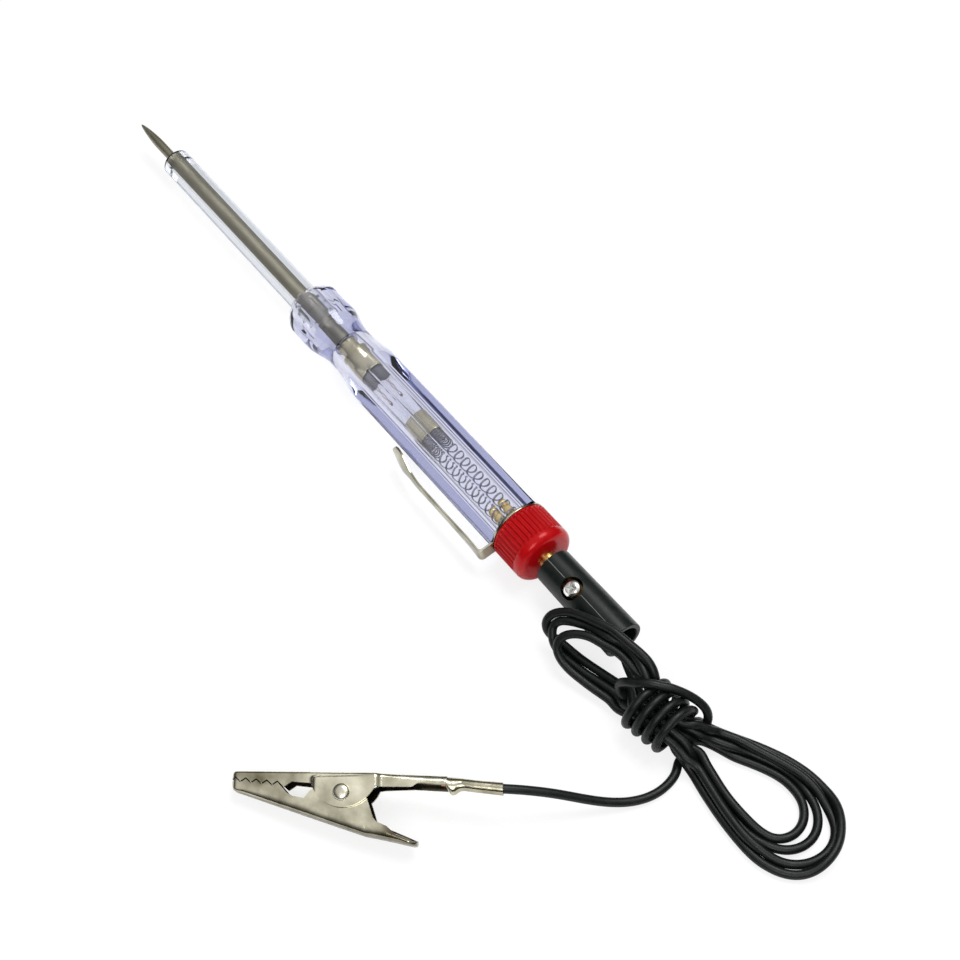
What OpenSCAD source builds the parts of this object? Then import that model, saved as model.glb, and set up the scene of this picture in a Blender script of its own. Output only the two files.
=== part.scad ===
// Circuit test light: a steel probe in a clear sleeve, a clear six-sided handle
// with a lamp and a contact spring in its bore, a ribbed red cap with a pocket
// clip, a black plug on the cap's brass stud, and a thin lead tied in a hank
// that ends in a crocodile clip.
//
// Stations are measured along the tool from the probe's point. The tool lies
// along X with its point towards -X, and rests on the table at Z = 0.

/* [Probe] */
// Diameter of the probe rod
probe_d = 2.0; // [1.6:0.1:2.4]
// Bare length of the probe in front of its sleeve
probe_bare = 15.5; // [12:0.5:20]
// Length of the ground point
point_len = 10; // [6:0.5:11]
// Diameter of the flat that wear leaves on the point
point_flat_d = 0.25; // [0.1:0.05:0.4]

/* [Sleeve] */
// Outer diameter of the clear sleeve
sleeve_d = 6.1; // [5.4:0.1:6.6]
// Length of the sleeve that shows in front of the guard
sleeve_show = 52.5; // [40:0.5:60]
// Depth to which the sleeve sits in the handle
sleeve_seat = 8; // [5:0.5:8.5]
// Step down to the sleeve's end that sits in the handle
seat_step = 0.2; // [0.1:0.05:0.3]
// Rounding of the sleeve's mouth
mouth_r = 0.9; // [0.4:0.1:1.2]

/* [Handle] */
// Largest diameter of the finger guard
guard_d = 11.9; // [11.6:0.1:12.6]
// Width of the finger guard across its flats
guard_flats = 11.4; // [11.2:0.1:11.5]
// Diameter of the guard's front face
guard_face_d = 8.6; // [8:0.1:9.4]
// Diameter of the neck behind the guard
neck_d = 9.3; // [8.8:0.1:9.8]
// Width of the grip across its flats
grip_flats = 10.75; // [10.4:0.05:11]
// Diameter that the flare reaches where the corners of the grip are sharp
grip_round_d = 12.7; // [12.5:0.1:13]
// Length of the guard, from its front face to the neck
guard_len = 14.5; // [13:0.5:16]
// Length of the handle
handle_len = 68; // [66:0.5:76]
// Diameter of the bore that holds the lamp and the spring
lamp_bore_d = 5.2; // [5.1:0.05:5.6]
// Depth of the groove round the guard
groove_depth = 0.2; // [0.1:0.05:0.3]

/* [Lamp] */
// Diameter of the ferrule on the rod's inner end
ferrule_d = 3.6; // [3.2:0.1:4.6]
// Length of the ferrule
ferrule_len = 3.4; // [2.8:0.1:4]
// Diameter of the lamp's front cap
lamp_cap_d = 4.7; // [4.4:0.05:4.9]
// Length of the lamp's front cap
lamp_cap_len = 6.2; // [5.5:0.1:7]
// Diameter of the flange of the front cap
lamp_flange_d = 5.0; // [4.8:0.05:5.05]
// Diameter of the glass tube
glass_d = 4.2; // [4:0.05:4.3]
// Wall of the glass tube
glass_wall = 0.3; // [0.2:0.05:0.4]
// Length of the glass that shows between the caps
glass_show = 14; // [12:0.5:15]
// Diameter of the lamp's rear cap
rear_cap_d = 4.5; // [4.3:0.05:4.8]
// Length of the lamp's rear cap
rear_cap_len = 5.2; // [4.8:0.1:7]

/* [Spring] */
// Outer diameter of the contact spring
spring_d = 4.0; // [3.4:0.1:4.4]
// Diameter of the spring's wire
spring_wire = 0.36; // [0.3:0.02:0.44]
// Close turns at the lamp's end
close_turns = 4; // [3:1:8]
// Open turns
open_turns = 12; // [8:0.5:13]

/* [Cap] */
// Diameter of the red cap over its ribs
cap_d = 11.4; // [11.2:0.1:11.5]
// Length of the red cap
cap_len = 8.5; // [7:0.5:9]
// Length of the ribbed band
rib_len = 5.2; // [4:0.1:5.6]
// Number of ribs
rib_n = 40; // [32:2:40]
// Depth of the grooves between the ribs
rib_depth = 0.35; // [0.2:0.05:0.4]
// Rounding of the cap's outer end
cap_round = 2.4; // [1.8:0.1:2.6]
// Rise of the cap's end face from its rounding to the stud
cap_dome = 0.5; // [0.2:0.1:0.8]
// Diameter of the brass stud where it leaves the cap
stud_d = 3.4; // [2.8:0.1:3.6]
// Diameter of the stud's threaded plug in the handle
stud_plug_d = 5.0; // [4.9:0.05:5.05]

/* [Pocket clip] */
// Thickness of the clip's sheet
strap_t = 0.4; // [0.3:0.05:0.45]
// Diameter of the clip's ring
ring_d = 11.4; // [11:0.1:11.5]
// Distance of the strap's back from the tool's axis
strap_reach = 8.6; // [8.4:0.1:9]
// Length of the strap in front of the ring
strap_len = 28.5; // [26:0.5:34]
// Length of the leaf at the strap's end
leaf_len = 7.2; // [6:0.2:9]
// How far the leaf's end leans in towards the grip
leaf_lean = 1.5; // [0.8:0.1:1.9]
// Width of the strap at its root
strap_root_w = 3.0; // [2.6:0.1:3]
// Width of the strap at its narrowest place
strap_w = 2.2; // [1.8:0.1:2.4]
// Width of the leaf at its end
leaf_w = 4.2; // [3.4:0.1:4.3]

/* [Plug] */
// Diameter of the plug sleeve at the cap
plug_d = 6.9; // [6.6:0.1:7.2]
// Diameter of the plug sleeve at its open end
plug_end_d = 7.3; // [7:0.1:7.6]
// Length of the plug sleeve
plug_len = 19; // [17:0.5:20]
// Bore of the plug sleeve
plug_bore_d = 5.5; // [5.3:0.1:5.6]
// Diameter of the screw hole in the plug sleeve
screw_hole_d = 4.1; // [3.6:0.1:4.3]
// Distance of the screw from the plug sleeve's front
screw_at = 7.1; // [6:0.1:8]
// Diameter of the screw's head
screw_head_d = 3.0; // [2.6:0.1:3.2]
// Angle of the screw round the axis, from straight up
screw_angle = 32; // [20:1:38]

/* [Crocodile clip] */
// Thickness of the clip's sheet
jaw_t = 0.45; // [0.4:0.05:0.5]
// Width of the jaws at the nose
nose_w = 2.4; // [2.2:0.1:2.8]
// Width of the jaws at the pivot
jaw_w = 4.2; // [4:0.1:4.4]
// Gap between the ears and the lower jaw on each side
ear_gap = 0.1; // [0.08:0.02:0.15]
// Pitch of the teeth
tooth_pitch = 1.73; // [1.6:0.01:1.8]
// Height of the teeth
tooth_h = 0.65; // [0.5:0.05:0.9]
// Gap between the closed teeth
bite_gap = 0.24; // [0.12:0.02:0.3]
// Radius of the ears round the pivot
ear_r = 5.4; // [5:0.1:5.5]
// Diameter of the rivet
rivet_d = 1.8; // [1.6:0.1:1.9]
// Diameter of the rivet's heads
rivet_head_d = 2.7; // [2.4:0.1:3]
// Wire of the clip's spring
clip_wire = 0.5; // [0.4:0.05:0.55]

/* [Cord] */
// Diameter of the cord
cord_d = 1.5; // [1.4:0.05:1.5]

/* [Hidden] */
$fn = 48;

// Running and seating clearances, on the radius
fit = 0.04;
slip = 0.1;
plug_gap = 1.1;
eps = 0.01;

// Stations along the tool
sleeve_s = probe_bare;
guard_s = sleeve_s + sleeve_show;
rest_s = guard_s + 6;
neck_s = guard_s + guard_len;
flare_s = neck_s + 1.5;
grip_s = flare_s + 13;
handle_end_s = guard_s + handle_len;
sleeve_end_s = guard_s + sleeve_seat;
seat_d = sleeve_d - 2 * seat_step;
ferrule_s = sleeve_end_s + 6.4;
rod_end_s = ferrule_s + ferrule_len - 0.8;
lamp_s = ferrule_s + ferrule_len;
glass_s = lamp_s + lamp_cap_len;
rear_cap_s = glass_s + glass_show;
spring_s = rear_cap_s + rear_cap_len;
ring_s = handle_end_s;
cap_s = ring_s + strap_t;
cap_end_s = cap_s + cap_len;
plug_s = cap_end_s + plug_gap;
plug_end_s = plug_s + plug_len;
screw_s = plug_s + screw_at;
core_s = plug_s + 1.8;
core_len = 9.4;
core_end_s = core_s + core_len;
stud_nose_s = handle_end_s - 5.7;
stud_end_s = screw_s - 1.6;
spring_end_s = stud_nose_s + 4.9;

// The guard's flat, the clip's ring and a rib of the cap stand on the table
axis_z = max(guard_flats, cap_d, ring_d) / 2;
side_angle = 100;

// Moves a solid of revolution about Z, with stations up Z, onto the tool's axis
module on_axis() {
    translate([-rest_s, 0, axis_z]) rotate([0, 90, 0]) children();
}

// Turns a piece that points along X to an angle from straight up, towards -Y
module at_angle(a) {
    rotate([0, 0, 180 + a]) children();
}

// A bar with a flat towards each multiple of 60 degrees
module hex_bar(flats, s0, s1) {
    translate([0, 0, s0]) rotate([0, 0, 30]) cylinder(h = s1 - s0, d = flats / cos(30), $fn = 6);
}

module tube_about_z(d, bore, s0, s1) {
    translate([0, 0, s0]) difference() {
        cylinder(h = s1 - s0, d = d);
        translate([0, 0, -1]) cylinder(h = s1 - s0 + 2, d = bore);
    }
}

// A blend from 0 to 1 that starts and ends level
function ease(t) = (1 - cos(180 * min(max(t, 0), 1))) / 2;

// Probe: a ground point with a slightly hollow taper, and a plain rod
function point_r(t) = point_flat_d / 2 + (probe_d - point_flat_d) / 2 * pow(sin(90 * t), 0.85);

module probe_rod() {
    color([0.56, 0.54, 0.48]) on_axis() rotate_extrude() polygon(concat(
        [[0, 0]],
        [for (i = [0:12]) [point_r(i / 12), point_len * i / 12]],
        [[probe_d / 2, rod_end_s], [0, rod_end_s]]
    ));
}

// Sleeve: a clear tube with a rounded mouth and a stepped end in the handle
module guard_sleeve() {
    color([0.93, 0.94, 0.97, 0.4]) on_axis() difference() {
        union() {
            translate([0, 0, sleeve_s + mouth_r]) cylinder(h = sleeve_show - mouth_r, d = sleeve_d);
            translate([0, 0, guard_s - eps]) cylinder(h = sleeve_seat + eps, d = seat_d);
            translate([0, 0, sleeve_s]) cylinder(h = mouth_r + eps, d = sleeve_d - 2 * mouth_r);
            translate([0, 0, sleeve_s + mouth_r]) rotate_extrude()
                translate([sleeve_d / 2 - mouth_r, 0]) circle(r = mouth_r);
        }
        cylinder(h = sleeve_end_s + 1, d = probe_d + 2 * fit);
    }
}

// Handle: the guard's and the grip's profiles, each cut by its own six flats
function guard_r(s) = s < guard_s + 3
    ? guard_face_d / 2 + (guard_d - guard_face_d) / 2 * sin(90 * (s - guard_s) / 3)
    : guard_d / 2 - (guard_d - neck_d) / 2 * ease((s - guard_s - 6.5) / (neck_s - guard_s - 6.5));

function grip_r(s) = neck_d / 2 + (grip_round_d - neck_d) / 2 * ease((s - flare_s) / (grip_s - flare_s));

module guard_form() {
    steps = 18;
    intersection() {
        rotate_extrude() polygon(concat(
            [[0, guard_s]],
            [for (i = [0:steps]) let (s = guard_s + guard_len * i / steps) [guard_r(s), s]],
            [[neck_d / 2, flare_s], [0, flare_s]]
        ));
        hex_bar(guard_flats, guard_s - 1, flare_s + 1);
    }
}

module grip_form() {
    steps = 12;
    intersection() {
        rotate_extrude() polygon(concat(
            [[0, neck_s]],
            [[neck_d / 2, neck_s]],
            [for (i = [0:steps]) let (s = flare_s + (grip_s - flare_s) * i / steps) [grip_r(s), s]],
            [[grip_round_d / 2, handle_end_s], [0, handle_end_s]]
        ));
        hex_bar(grip_flats, neck_s - 1, handle_end_s + 1);
    }
}

module handle() {
    color([0.78, 0.76, 0.95, 0.4]) on_axis() difference() {
        union() {
            guard_form();
            grip_form();
        }
        // Groove round the guard behind its rounded front
        translate([0, 0, guard_s + 3.4]) rotate_extrude() polygon([
            [guard_d / 2 + 1, -1], [guard_d / 2 - groove_depth, 0], [guard_d / 2 + 1, 1]
        ]);
        // Socket for the sleeve, passage for the rod, and the bore for the lamp
        translate([0, 0, guard_s - 1]) cylinder(h = sleeve_seat + 1, d = seat_d + 2 * fit);
        translate([0, 0, guard_s]) cylinder(h = guard_len, d = probe_d + 2 * slip);
        translate([0, 0, ferrule_s - 0.2]) cylinder(h = handle_end_s, d = lamp_bore_d);
    }
}

// Ferrule: pressed on the rod's inner end
module ferrule() {
    color([0.72, 0.68, 0.55]) on_axis() difference() {
        union() {
            translate([0, 0, ferrule_s]) cylinder(h = ferrule_len, d = ferrule_d);
            translate([0, 0, ferrule_s]) cylinder(h = 0.6, d = ferrule_d + 0.5);
        }
        translate([0, 0, ferrule_s - 1]) cylinder(h = rod_end_s - ferrule_s + 1, d = probe_d + 2 * fit);
    }
}

// Lamp: two metal caps on a glass tube, with the wires' mount inside
module lamp_front_cap() {
    color([0.75, 0.72, 0.6]) on_axis() difference() {
        union() {
            translate([0, 0, lamp_s]) cylinder(h = 0.6, d = lamp_flange_d);
            translate([0, 0, lamp_s]) cylinder(h = lamp_cap_len, d = lamp_cap_d);
        }
        translate([0, 0, glass_s - 2.5]) cylinder(h = 3, d = glass_d + 2 * fit);
    }
}

module lamp_glass() {
    color([0.95, 0.96, 0.98, 0.3]) on_axis() difference() {
        translate([0, 0, glass_s - 2.4]) cylinder(h = glass_show + 4.8, d = glass_d);
        translate([0, 0, glass_s - 2.4 + glass_wall])
            cylinder(h = glass_show + 4.8 - 2 * glass_wall, d = glass_d - 2 * glass_wall);
    }
}

// Mount: the dark cone that carries the lamp's wires
mount_len = 4.2;
mount_end_s = glass_s + mount_len;
module lamp_mount() {
    color([0.33, 0.33, 0.33]) on_axis() rotate_extrude() polygon([
        [0, glass_s - 2], [glass_d / 2 - glass_wall - fit, glass_s - 2],
        [glass_d / 2 - glass_wall - fit, glass_s + 0.6], [0.75, mount_end_s], [0, mount_end_s]
    ]);
}

// Filament: two leads held in the mount, and the coil between their ends
lead_gap = 0.9;
lead_len = 4.5;
module lamp_filament() {
    color([0.8, 0.62, 0.55]) on_axis() union() {
        for (side = [-1, 1])
            translate([0, side * lead_gap / 2, mount_end_s]) cylinder(h = lead_len, d = 0.22, $fn = 16);
        translate([0, -lead_gap / 2, mount_end_s + lead_len - 0.15]) rotate([-90, 0, 0])
            cylinder(h = lead_gap, d = 0.3, $fn = 16);
        translate([0, 0, mount_end_s + 1.6]) sphere(d = lead_gap + 0.3, $fn = 24);
    }
}

// Rear cap: a plain cup with a contact that stands inside the spring
contact_d = 1.6;
contact_h = 0.9;
module lamp_rear_cap() {
    color([0.72, 0.7, 0.58]) on_axis() difference() {
        union() {
            translate([0, 0, rear_cap_s]) cylinder(h = rear_cap_len, d = rear_cap_d);
            translate([0, 0, rear_cap_s]) cylinder(h = rear_cap_len + contact_h, d = contact_d);
        }
        translate([0, 0, rear_cap_s - 1]) cylinder(h = 3.5, d = glass_d + 2 * fit);
    }
}

// A tube of rings about each point of a path; the ends are closed
function unit(v) = v / norm(v);
function path_dir(p, i) = unit(p[min(i + 1, len(p) - 1)] - p[max(i - 1, 0)]);
function side_of(t) = abs(t[2]) > 0.95 ? unit(cross(t, [0, 1, 0])) : unit(cross(t, [0, 0, 1]));

module swept_tube(p, d, sides) {
    n = len(p);
    rings = [for (i = [0:n - 1])
        let (t = path_dir(p, i), u = side_of(t), v = cross(t, u))
        for (k = [0:sides - 1]) p[i] + d / 2 * (cos(360 * k / sides) * u + sin(360 * k / sides) * v)];
    walls = [for (i = [0:n - 2], k = [0:sides - 1], half = [0, 1])
        let (j = (k + 1) % sides, a = i * sides, b = (i + 1) * sides)
        half == 0 ? [a + k, b + k, b + j] : [a + k, b + j, a + j]];
    near_end = [[for (k = [0:sides - 1]) k]];
    far_end = [[for (k = [sides - 1:-1:0]) (n - 1) * sides + k]];
    polyhedron(points = rings, faces = concat(walls, near_end, far_end));
}

// Contact spring: close turns at the lamp, then open turns to the stud
close_pitch = 1.5 * spring_wire;
close_len = close_turns * close_pitch;
spring_mid_r = (spring_d - spring_wire) / 2;
spring_rings = 12;
function spring_rise(turn) = turn < close_turns
    ? turn * close_pitch
    : close_len + (turn - close_turns) / open_turns * (spring_end_s - spring_s - close_len - spring_wire);

module contact_spring() {
    turns = close_turns + open_turns;
    color([0.6, 0.61, 0.62]) on_axis() swept_tube(
        [for (i = [0:turns * spring_rings]) let (a = 360 * i / spring_rings, turn = i / spring_rings)
            [spring_mid_r * cos(a), spring_mid_r * sin(a), spring_s + spring_wire / 2 + spring_rise(turn)]],
        spring_wire, 6);
}

// Stud: a nose with a groove inside the spring's end, a threaded plug that the
// spring stands on, and a shank through the cap
stud_step = 1.2;
stud_nose_r = spring_d / 2 - spring_wire - 2 * slip;
groove_r = 0.7 * stud_nose_r;
module cap_stud() {
    color([0.8, 0.62, 0.28]) on_axis() rotate_extrude() polygon([
        [0, stud_nose_s], [0.5 * stud_nose_r, stud_nose_s], [0.87 * stud_nose_r, stud_nose_s + 0.4],
        [stud_nose_r, stud_nose_s + 1], [0.87 * stud_nose_r, stud_nose_s + 1.6],
        [groove_r, stud_nose_s + 1.9], [groove_r, stud_nose_s + 2.2], [stud_nose_r, stud_nose_s + 2.6],
        [stud_nose_r, spring_end_s], [stud_plug_d / 2, spring_end_s],
        [stud_plug_d / 2, cap_s + stud_step - 0.2], [stud_d / 2, cap_s + stud_step],
        [stud_d / 2, stud_end_s], [0, stud_end_s]
    ]);
}

// Cap: a ribbed band and a rounded end round the stud
module screw_cap() {
    r = cap_d / 2;
    color([0.75, 0.06, 0.07]) on_axis() difference() {
        rotate_extrude() polygon(concat(
            [[0, cap_s], [r - 0.25, cap_s], [r, cap_s + 0.25]],
            [for (i = [0:8]) let (a = 90 * i / 8)
                [r - cap_round * (1 - cos(a)), cap_end_s - cap_dome - cap_round * (1 - sin(a))]],
            [[stud_d / 2 + 0.5, cap_end_s], [0, cap_end_s]]
        ));
        for (i = [0:rib_n - 1]) at_angle(360 * (i + 0.5) / rib_n)
            translate([r + rib_depth * 0.4, 0, cap_s + 0.5])
                cylinder(h = rib_len, r = rib_depth * 1.1, $fn = 16);
        translate([0, 0, cap_s - 1]) cylinder(h = 1 + stud_step + fit, d = stud_plug_d + 2 * fit);
        cylinder(h = cap_end_s + 1, d = stud_d + 2 * fit);
    }
}

// Pocket clip: a ring under the cap, a tab, and a strap that stands off the grip,
// with a leaf at its end that leans in
strap_end_s = ring_s - strap_len;
leaf_wide_s = strap_end_s + 0.45 * leaf_len;
function strap_out(s) = strap_reach
    - leaf_lean * pow(max(1 - (s - strap_end_s) / (1.4 * leaf_len), 0), 1.5);
function strap_half(s) = s < leaf_wide_s
    ? leaf_w / 2 * sqrt(1 - 0.94 * pow((leaf_wide_s - s) / (leaf_wide_s - strap_end_s), 2))
    : strap_w / 2 + (leaf_w - strap_w) / 2 * ease(1 - (s - leaf_wide_s) / (0.55 * leaf_len))
        + (strap_root_w - strap_w) / 2 * ease((s - ring_s + 12) / 12);

module strap_side() {
    steps = 22;
    outer = [for (i = [0:steps]) let (s = strap_end_s + strap_len * i / steps) [strap_out(s), s]];
    inner = [for (p = [steps:-1:0]) [outer[p][0] - strap_t, outer[p][1]]];
    root = [[strap_reach, ring_s + strap_t], [strap_reach - strap_t, ring_s + strap_t]];
    polygon(concat(outer, root, inner));
}

module strap_plan() {
    steps = 22;
    one = [for (i = [0:steps]) let (s = strap_end_s + strap_len * i / steps) [strap_half(s), s]];
    other = [for (i = [steps:-1:0]) let (s = strap_end_s + strap_len * i / steps) [-strap_half(s), s]];
    root = [[strap_root_w / 2, ring_s + strap_t], [-strap_root_w / 2, ring_s + strap_t]];
    polygon(concat(one, root, other));
}

module pocket_clip() {
    tab_root = ring_d / 2 - 2;
    color([0.82, 0.8, 0.74]) on_axis() union() {
        tube_about_z(ring_d, stud_plug_d + 2 * slip, ring_s, ring_s + strap_t);
        at_angle(side_angle) {
            translate([tab_root, -strap_root_w / 2, ring_s])
                cube([strap_reach - tab_root, strap_root_w, strap_t]);
            intersection() {
                rotate([90, 0, 0]) linear_extrude(height = 2 * leaf_w, center = true) strap_side();
                rotate([90, 0, 90]) linear_extrude(height = 2 * strap_reach) strap_plan();
            }
        }
    }
}

// Plug: a moulded sleeve over a brass core, held by a screw
module plug_sleeve() {
    color([0.09, 0.1, 0.1]) on_axis() difference() {
        translate([0, 0, plug_s]) cylinder(h = plug_len, d1 = plug_d, d2 = plug_end_d);
        translate([0, 0, core_s - slip]) cylinder(h = plug_len, d = plug_bore_d);
        translate([0, 0, plug_s - 1]) cylinder(h = plug_len, d = stud_d + 2 * slip);
        translate([0, 0, screw_s]) at_angle(screw_angle) rotate([0, 90, 0])
            cylinder(h = plug_end_d, d = screw_hole_d);
    }
}

wire_d = 0.9;
screw_d = 1.7;
module plug_core() {
    color([0.78, 0.6, 0.28]) on_axis() difference() {
        translate([0, 0, core_s]) cylinder(h = core_len, d = plug_bore_d - 2 * fit);
        translate([0, 0, core_s - 1]) cylinder(h = stud_end_s - core_s + 1 + fit, d = stud_d + 2 * fit);
        translate([0, 0, screw_s - 1]) cylinder(h = core_len, d = wire_d + 2 * fit);
        translate([0, 0, screw_s]) at_angle(screw_angle) rotate([0, 90, 0])
            cylinder(h = plug_end_d, d = screw_d + 2 * fit);
    }
}

// Screw: a pan head with a cross recess, down on the wire
screw_head_h = 0.9;
screw_seat = plug_bore_d / 2;
module plug_screw() {
    color([0.85, 0.85, 0.83]) on_axis() translate([0, 0, screw_s]) at_angle(screw_angle) rotate([0, 90, 0])
    difference() {
        union() {
            translate([0, 0, wire_d / 2 + fit]) cylinder(h = screw_seat - wire_d / 2, d = screw_d);
            translate([0, 0, screw_seat]) cylinder(h = screw_head_h * 0.6, d = screw_head_d);
            translate([0, 0, screw_seat + screw_head_h * 0.6])
                cylinder(h = screw_head_h * 0.4, d1 = screw_head_d, d2 = screw_head_d * 0.7);
        }
        for (a = [40, 130]) rotate([0, 0, a])
            translate([-screw_head_d * 0.33, -0.17, screw_seat + 0.3])
                cube([screw_head_d * 0.66, 0.34, screw_head_h]);
    }
}

module cord_wire_end() {
    color([0.75, 0.45, 0.3]) on_axis() translate([0, 0, screw_s - 0.9])
        cylinder(h = core_end_s - screw_s + 0.9, d = wire_d);
}

// Cord: its routes are places in the row's frame, chosen by hand. The lead runs
// from the core's end to the knot, and the run from the knot to the clip.
core_x = core_end_s - rest_s;
lead_route = [[core_x, 0, axis_z], [core_x + 3, 0, axis_z], [88, 0, 5.6], [90.5, -0.2, 5.1],
    [92, -0.9, 4.5], [93.5, -1.6, 4], [95.2, -2.2, 3.7], [97, -2.6, 3.6], [99, -3.1, 3.7],
    [101.2, -3.7, 4]];
run_route = [[109.8, -2.6, 0.8], [111.1, -3.8, 0.8], [112.4, -5.4, 0.8], [113.4, -7.5, 0.8],
    [114, -10, 0.8], [113.9, -12.6, 0.8], [113.1, -15.2, 0.9], [112, -17.5, 1.3], [110.6, -19.8, 2],
    [109, -22.1, 3], [107.4, -24.3, 4.1], [105.8, -26.5, 5.1], [104.4, -28.6, 5.9], [103, -30.6, 6.5]];

module cord_lead() {
    color([0.08, 0.09, 0.09]) swept_tube(lead_route, cord_d, 8);
}

module cord_run() {
    crimp_mouth = clip_point(crimp_at(crimp_len));
    seat = clip_point(crimp_at(crimp_seat));
    color([0.08, 0.09, 0.09]) swept_tube(concat(run_route, [crimp_mouth, seat]), cord_d, 8);
}

// Knot: the wraps round the hank's waist
knot_at = [105.6, -4.2, 4.9];
knot_len = 10;
knot_d = 9.8;
knot_turn = 10;
module cord_knot() {
    color([0.08, 0.09, 0.09]) translate(knot_at) rotate([0, 0, knot_turn]) rotate([0, 90, 0])
        cylinder(h = knot_len, d = knot_d, center = true);
}

// Loops: the outer shape of the turns on each side of the knot
long_end = [129.9, 1.8];
long_r = 9.3;
long_h = 3.2;
waist_y = [-4.8, 2.8];
module cord_long_loops() {
    waist_x = knot_at[0] + knot_len / 2 - 0.7;
    color([0.08, 0.09, 0.09]) linear_extrude(height = long_h) union() {
        translate(long_end) circle(r = long_r);
        polygon([[waist_x, waist_y[0]], long_end - [2.4, long_r - 0.4], long_end,
            long_end + [-4.4, long_r - 1.1], [waist_x, waist_y[1]]]);
    }
}

// The short turns lean on the plug, so their outline stands on its edge
short_at = [82, -6.6, 5.9];
short_tilt = 53;
short_h = 2.8;
short_r = 3.6;
short_len = 19.4;
short_waist = [-3, 0.6];
module cord_short_loops() {
    color([0.08, 0.09, 0.09]) translate(short_at) rotate([short_tilt, 0, 4])
        translate([0, 0, -short_h / 2]) linear_extrude(height = short_h) union() {
            circle(r = short_r);
            polygon([[0, -short_r], [short_len, short_waist[0]], [short_len, short_waist[1]],
                [0, short_r]]);
        }
}

// Crocodile clip: X runs from the nose to the crimp, Y from the lower jaw to the
// back of the upper jaw, and Z along the rivet. It lies on its side, tipped.
clip_at = [86.6, -52.2, 3.7];
clip_yaw = 51.5;
clip_pitch = 7;
clip_lean = 17;

module on_clip() {
    translate(clip_at) rotate([0, 0, clip_yaw]) rotate([0, -clip_pitch, 0]) rotate([clip_lean, 0, 0])
        children();
}

function turn_x(p, a) = [p[0], p[1] * cos(a) - p[2] * sin(a), p[1] * sin(a) + p[2] * cos(a)];
function turn_y(p, a) = [p[0] * cos(a) + p[2] * sin(a), p[1], -p[0] * sin(a) + p[2] * cos(a)];
function turn_z(p, a) = [p[0] * cos(a) - p[1] * sin(a), p[0] * sin(a) + p[1] * cos(a), p[2]];
function clip_point(p) = clip_at + turn_z(turn_y(turn_x(p, clip_lean), -clip_pitch), clip_yaw);

// Places on the side view of the clip
nose_x = -17.9;
bite_x = -17.3;
bite_y = 2.66;
bite_fall = 0.135;
teeth = 4;
ear_y = 3.1;
ear_w = jaw_w + 2 * (ear_gap + jaw_t);
tail_y = 0.85;
tail_x = 10.6;
tail_end_y = 0.35;
crimp_x = 15.9;
crimp_y = 1.47;
crimp_turn = -6.5;
crimp_len = 9;
crimp_d = 2.1;
bell_x = 15.6;
bell_y = 1.05;
bell_turn = 2.8;
bell_len = 2.8;
bell_d = 2.9;
crimp_seat = crimp_len - 2;
function crimp_at(depth) = [crimp_x + depth * cos(crimp_turn), crimp_y + depth * sin(crimp_turn), 0];

// The zigzag between the jaws, moved by half the gap
function bite_line(shift) = [for (i = [0:2 * teeth])
    let (x = bite_x + i * tooth_pitch / 2)
    [x, bite_y - bite_fall * (x - bite_x) + (i % 2 == 0 ? 1 : -1) * tooth_h / 2 + shift]];
back_end_x = 16.2;
function back_line(x) = 3.2 - 0.045 * x;
sole_x = -17.3;
heel_x = 3.4;
function sole_line(x) = 0.83 - 0.345 * (x - sole_x);

module upper_side() {
    union() {
        polygon(concat(
            [[nose_x + 1.1, back_line(nose_x + 1.1)], [back_end_x, back_line(back_end_x)],
                [back_end_x, tail_end_y], [tail_x, tail_y], [4, tail_y], [-4.5, 1.6], [-8.1, 1.95],
                [-9.3, 1.15]],
            [for (i = [2 * teeth:-1:0]) bite_line(bite_gap / 2)[i]],
            [[nose_x + 0.45, bite_y + 0.6], [nose_x + 0.6, back_line(nose_x) - 0.35]]
        ));
        intersection() {
            translate([0.3, ear_y]) circle(r = ear_r);
            polygon([[-8, -8], [8, -8], [8, back_line(8)], [-8, back_line(-8)]]);
        }
    }
}

lever_root = [5.2, -6.65];
lever_mid = [7.8, -7.25];
lever_end = [11.2, -8.1];
module lower_side() {
    polygon(concat(
        [[nose_x + 0.35, bite_y - 0.2], [nose_x - 0.1, bite_y - 0.8], [nose_x + 0.05, 1.4],
            [sole_x, sole_line(sole_x)], [heel_x, sole_line(heel_x)], lever_root, lever_mid, lever_end,
            [11.7, -7.7], [11.4, -7.15], [10.3, -6.6], [7.1, -5.2], [5.5, -4.5], [4.9, -3.8],
            [4.5, -2.6], [3.9, -0.8], [2.4, 1.5], [0, 2.3], [-2.4, 1.9], [-5.05, 0.5], [-6, -0.68],
            [-7.8, -0.3], [-8.75, 0.2]],
        [for (i = [2 * teeth:-1:0]) bite_line(-bite_gap / 2)[i]]
    ));
}

// Half-widths seen from the back, with the sheet's thickness taken off for the hollow
module upper_plan(inset) {
    half = [[nose_x - 1, nose_w / 2], [nose_x, nose_w / 2], [-5.7, jaw_w / 2], [-5.2, ear_w / 2],
        [4.6, ear_w / 2], [6.2, jaw_w / 2 + 0.2], [back_end_x + 0.1, 1.2]];
    n = len(half) - 1;
    near = [for (p = half) [p[0], p[1] - inset]];
    polygon(concat(near, [for (i = [n:-1:0]) [near[i][0], -near[i][1]]]));
}

module lower_plan(inset) {
    half = [[nose_x - 1, nose_w / 2], [nose_x, nose_w / 2], [-5, jaw_w / 2], [7, jaw_w / 2],
        [10.6, 1.7], [12, 0.9]];
    n = len(half) - 1;
    near = [for (p = half) [p[0], p[1] - inset]];
    polygon(concat(near, [for (i = [n:-1:0]) [near[i][0], -near[i][1]]]));
}

// Blocks of a side view and of a plan, which the jaws' forms are cut from
plan_reach = 20;
hollow_end_x = back_end_x + 0.8;
clip_low = 9;
module side_block() {
    linear_extrude(height = 2 * ear_w, center = true) children();
}

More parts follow.
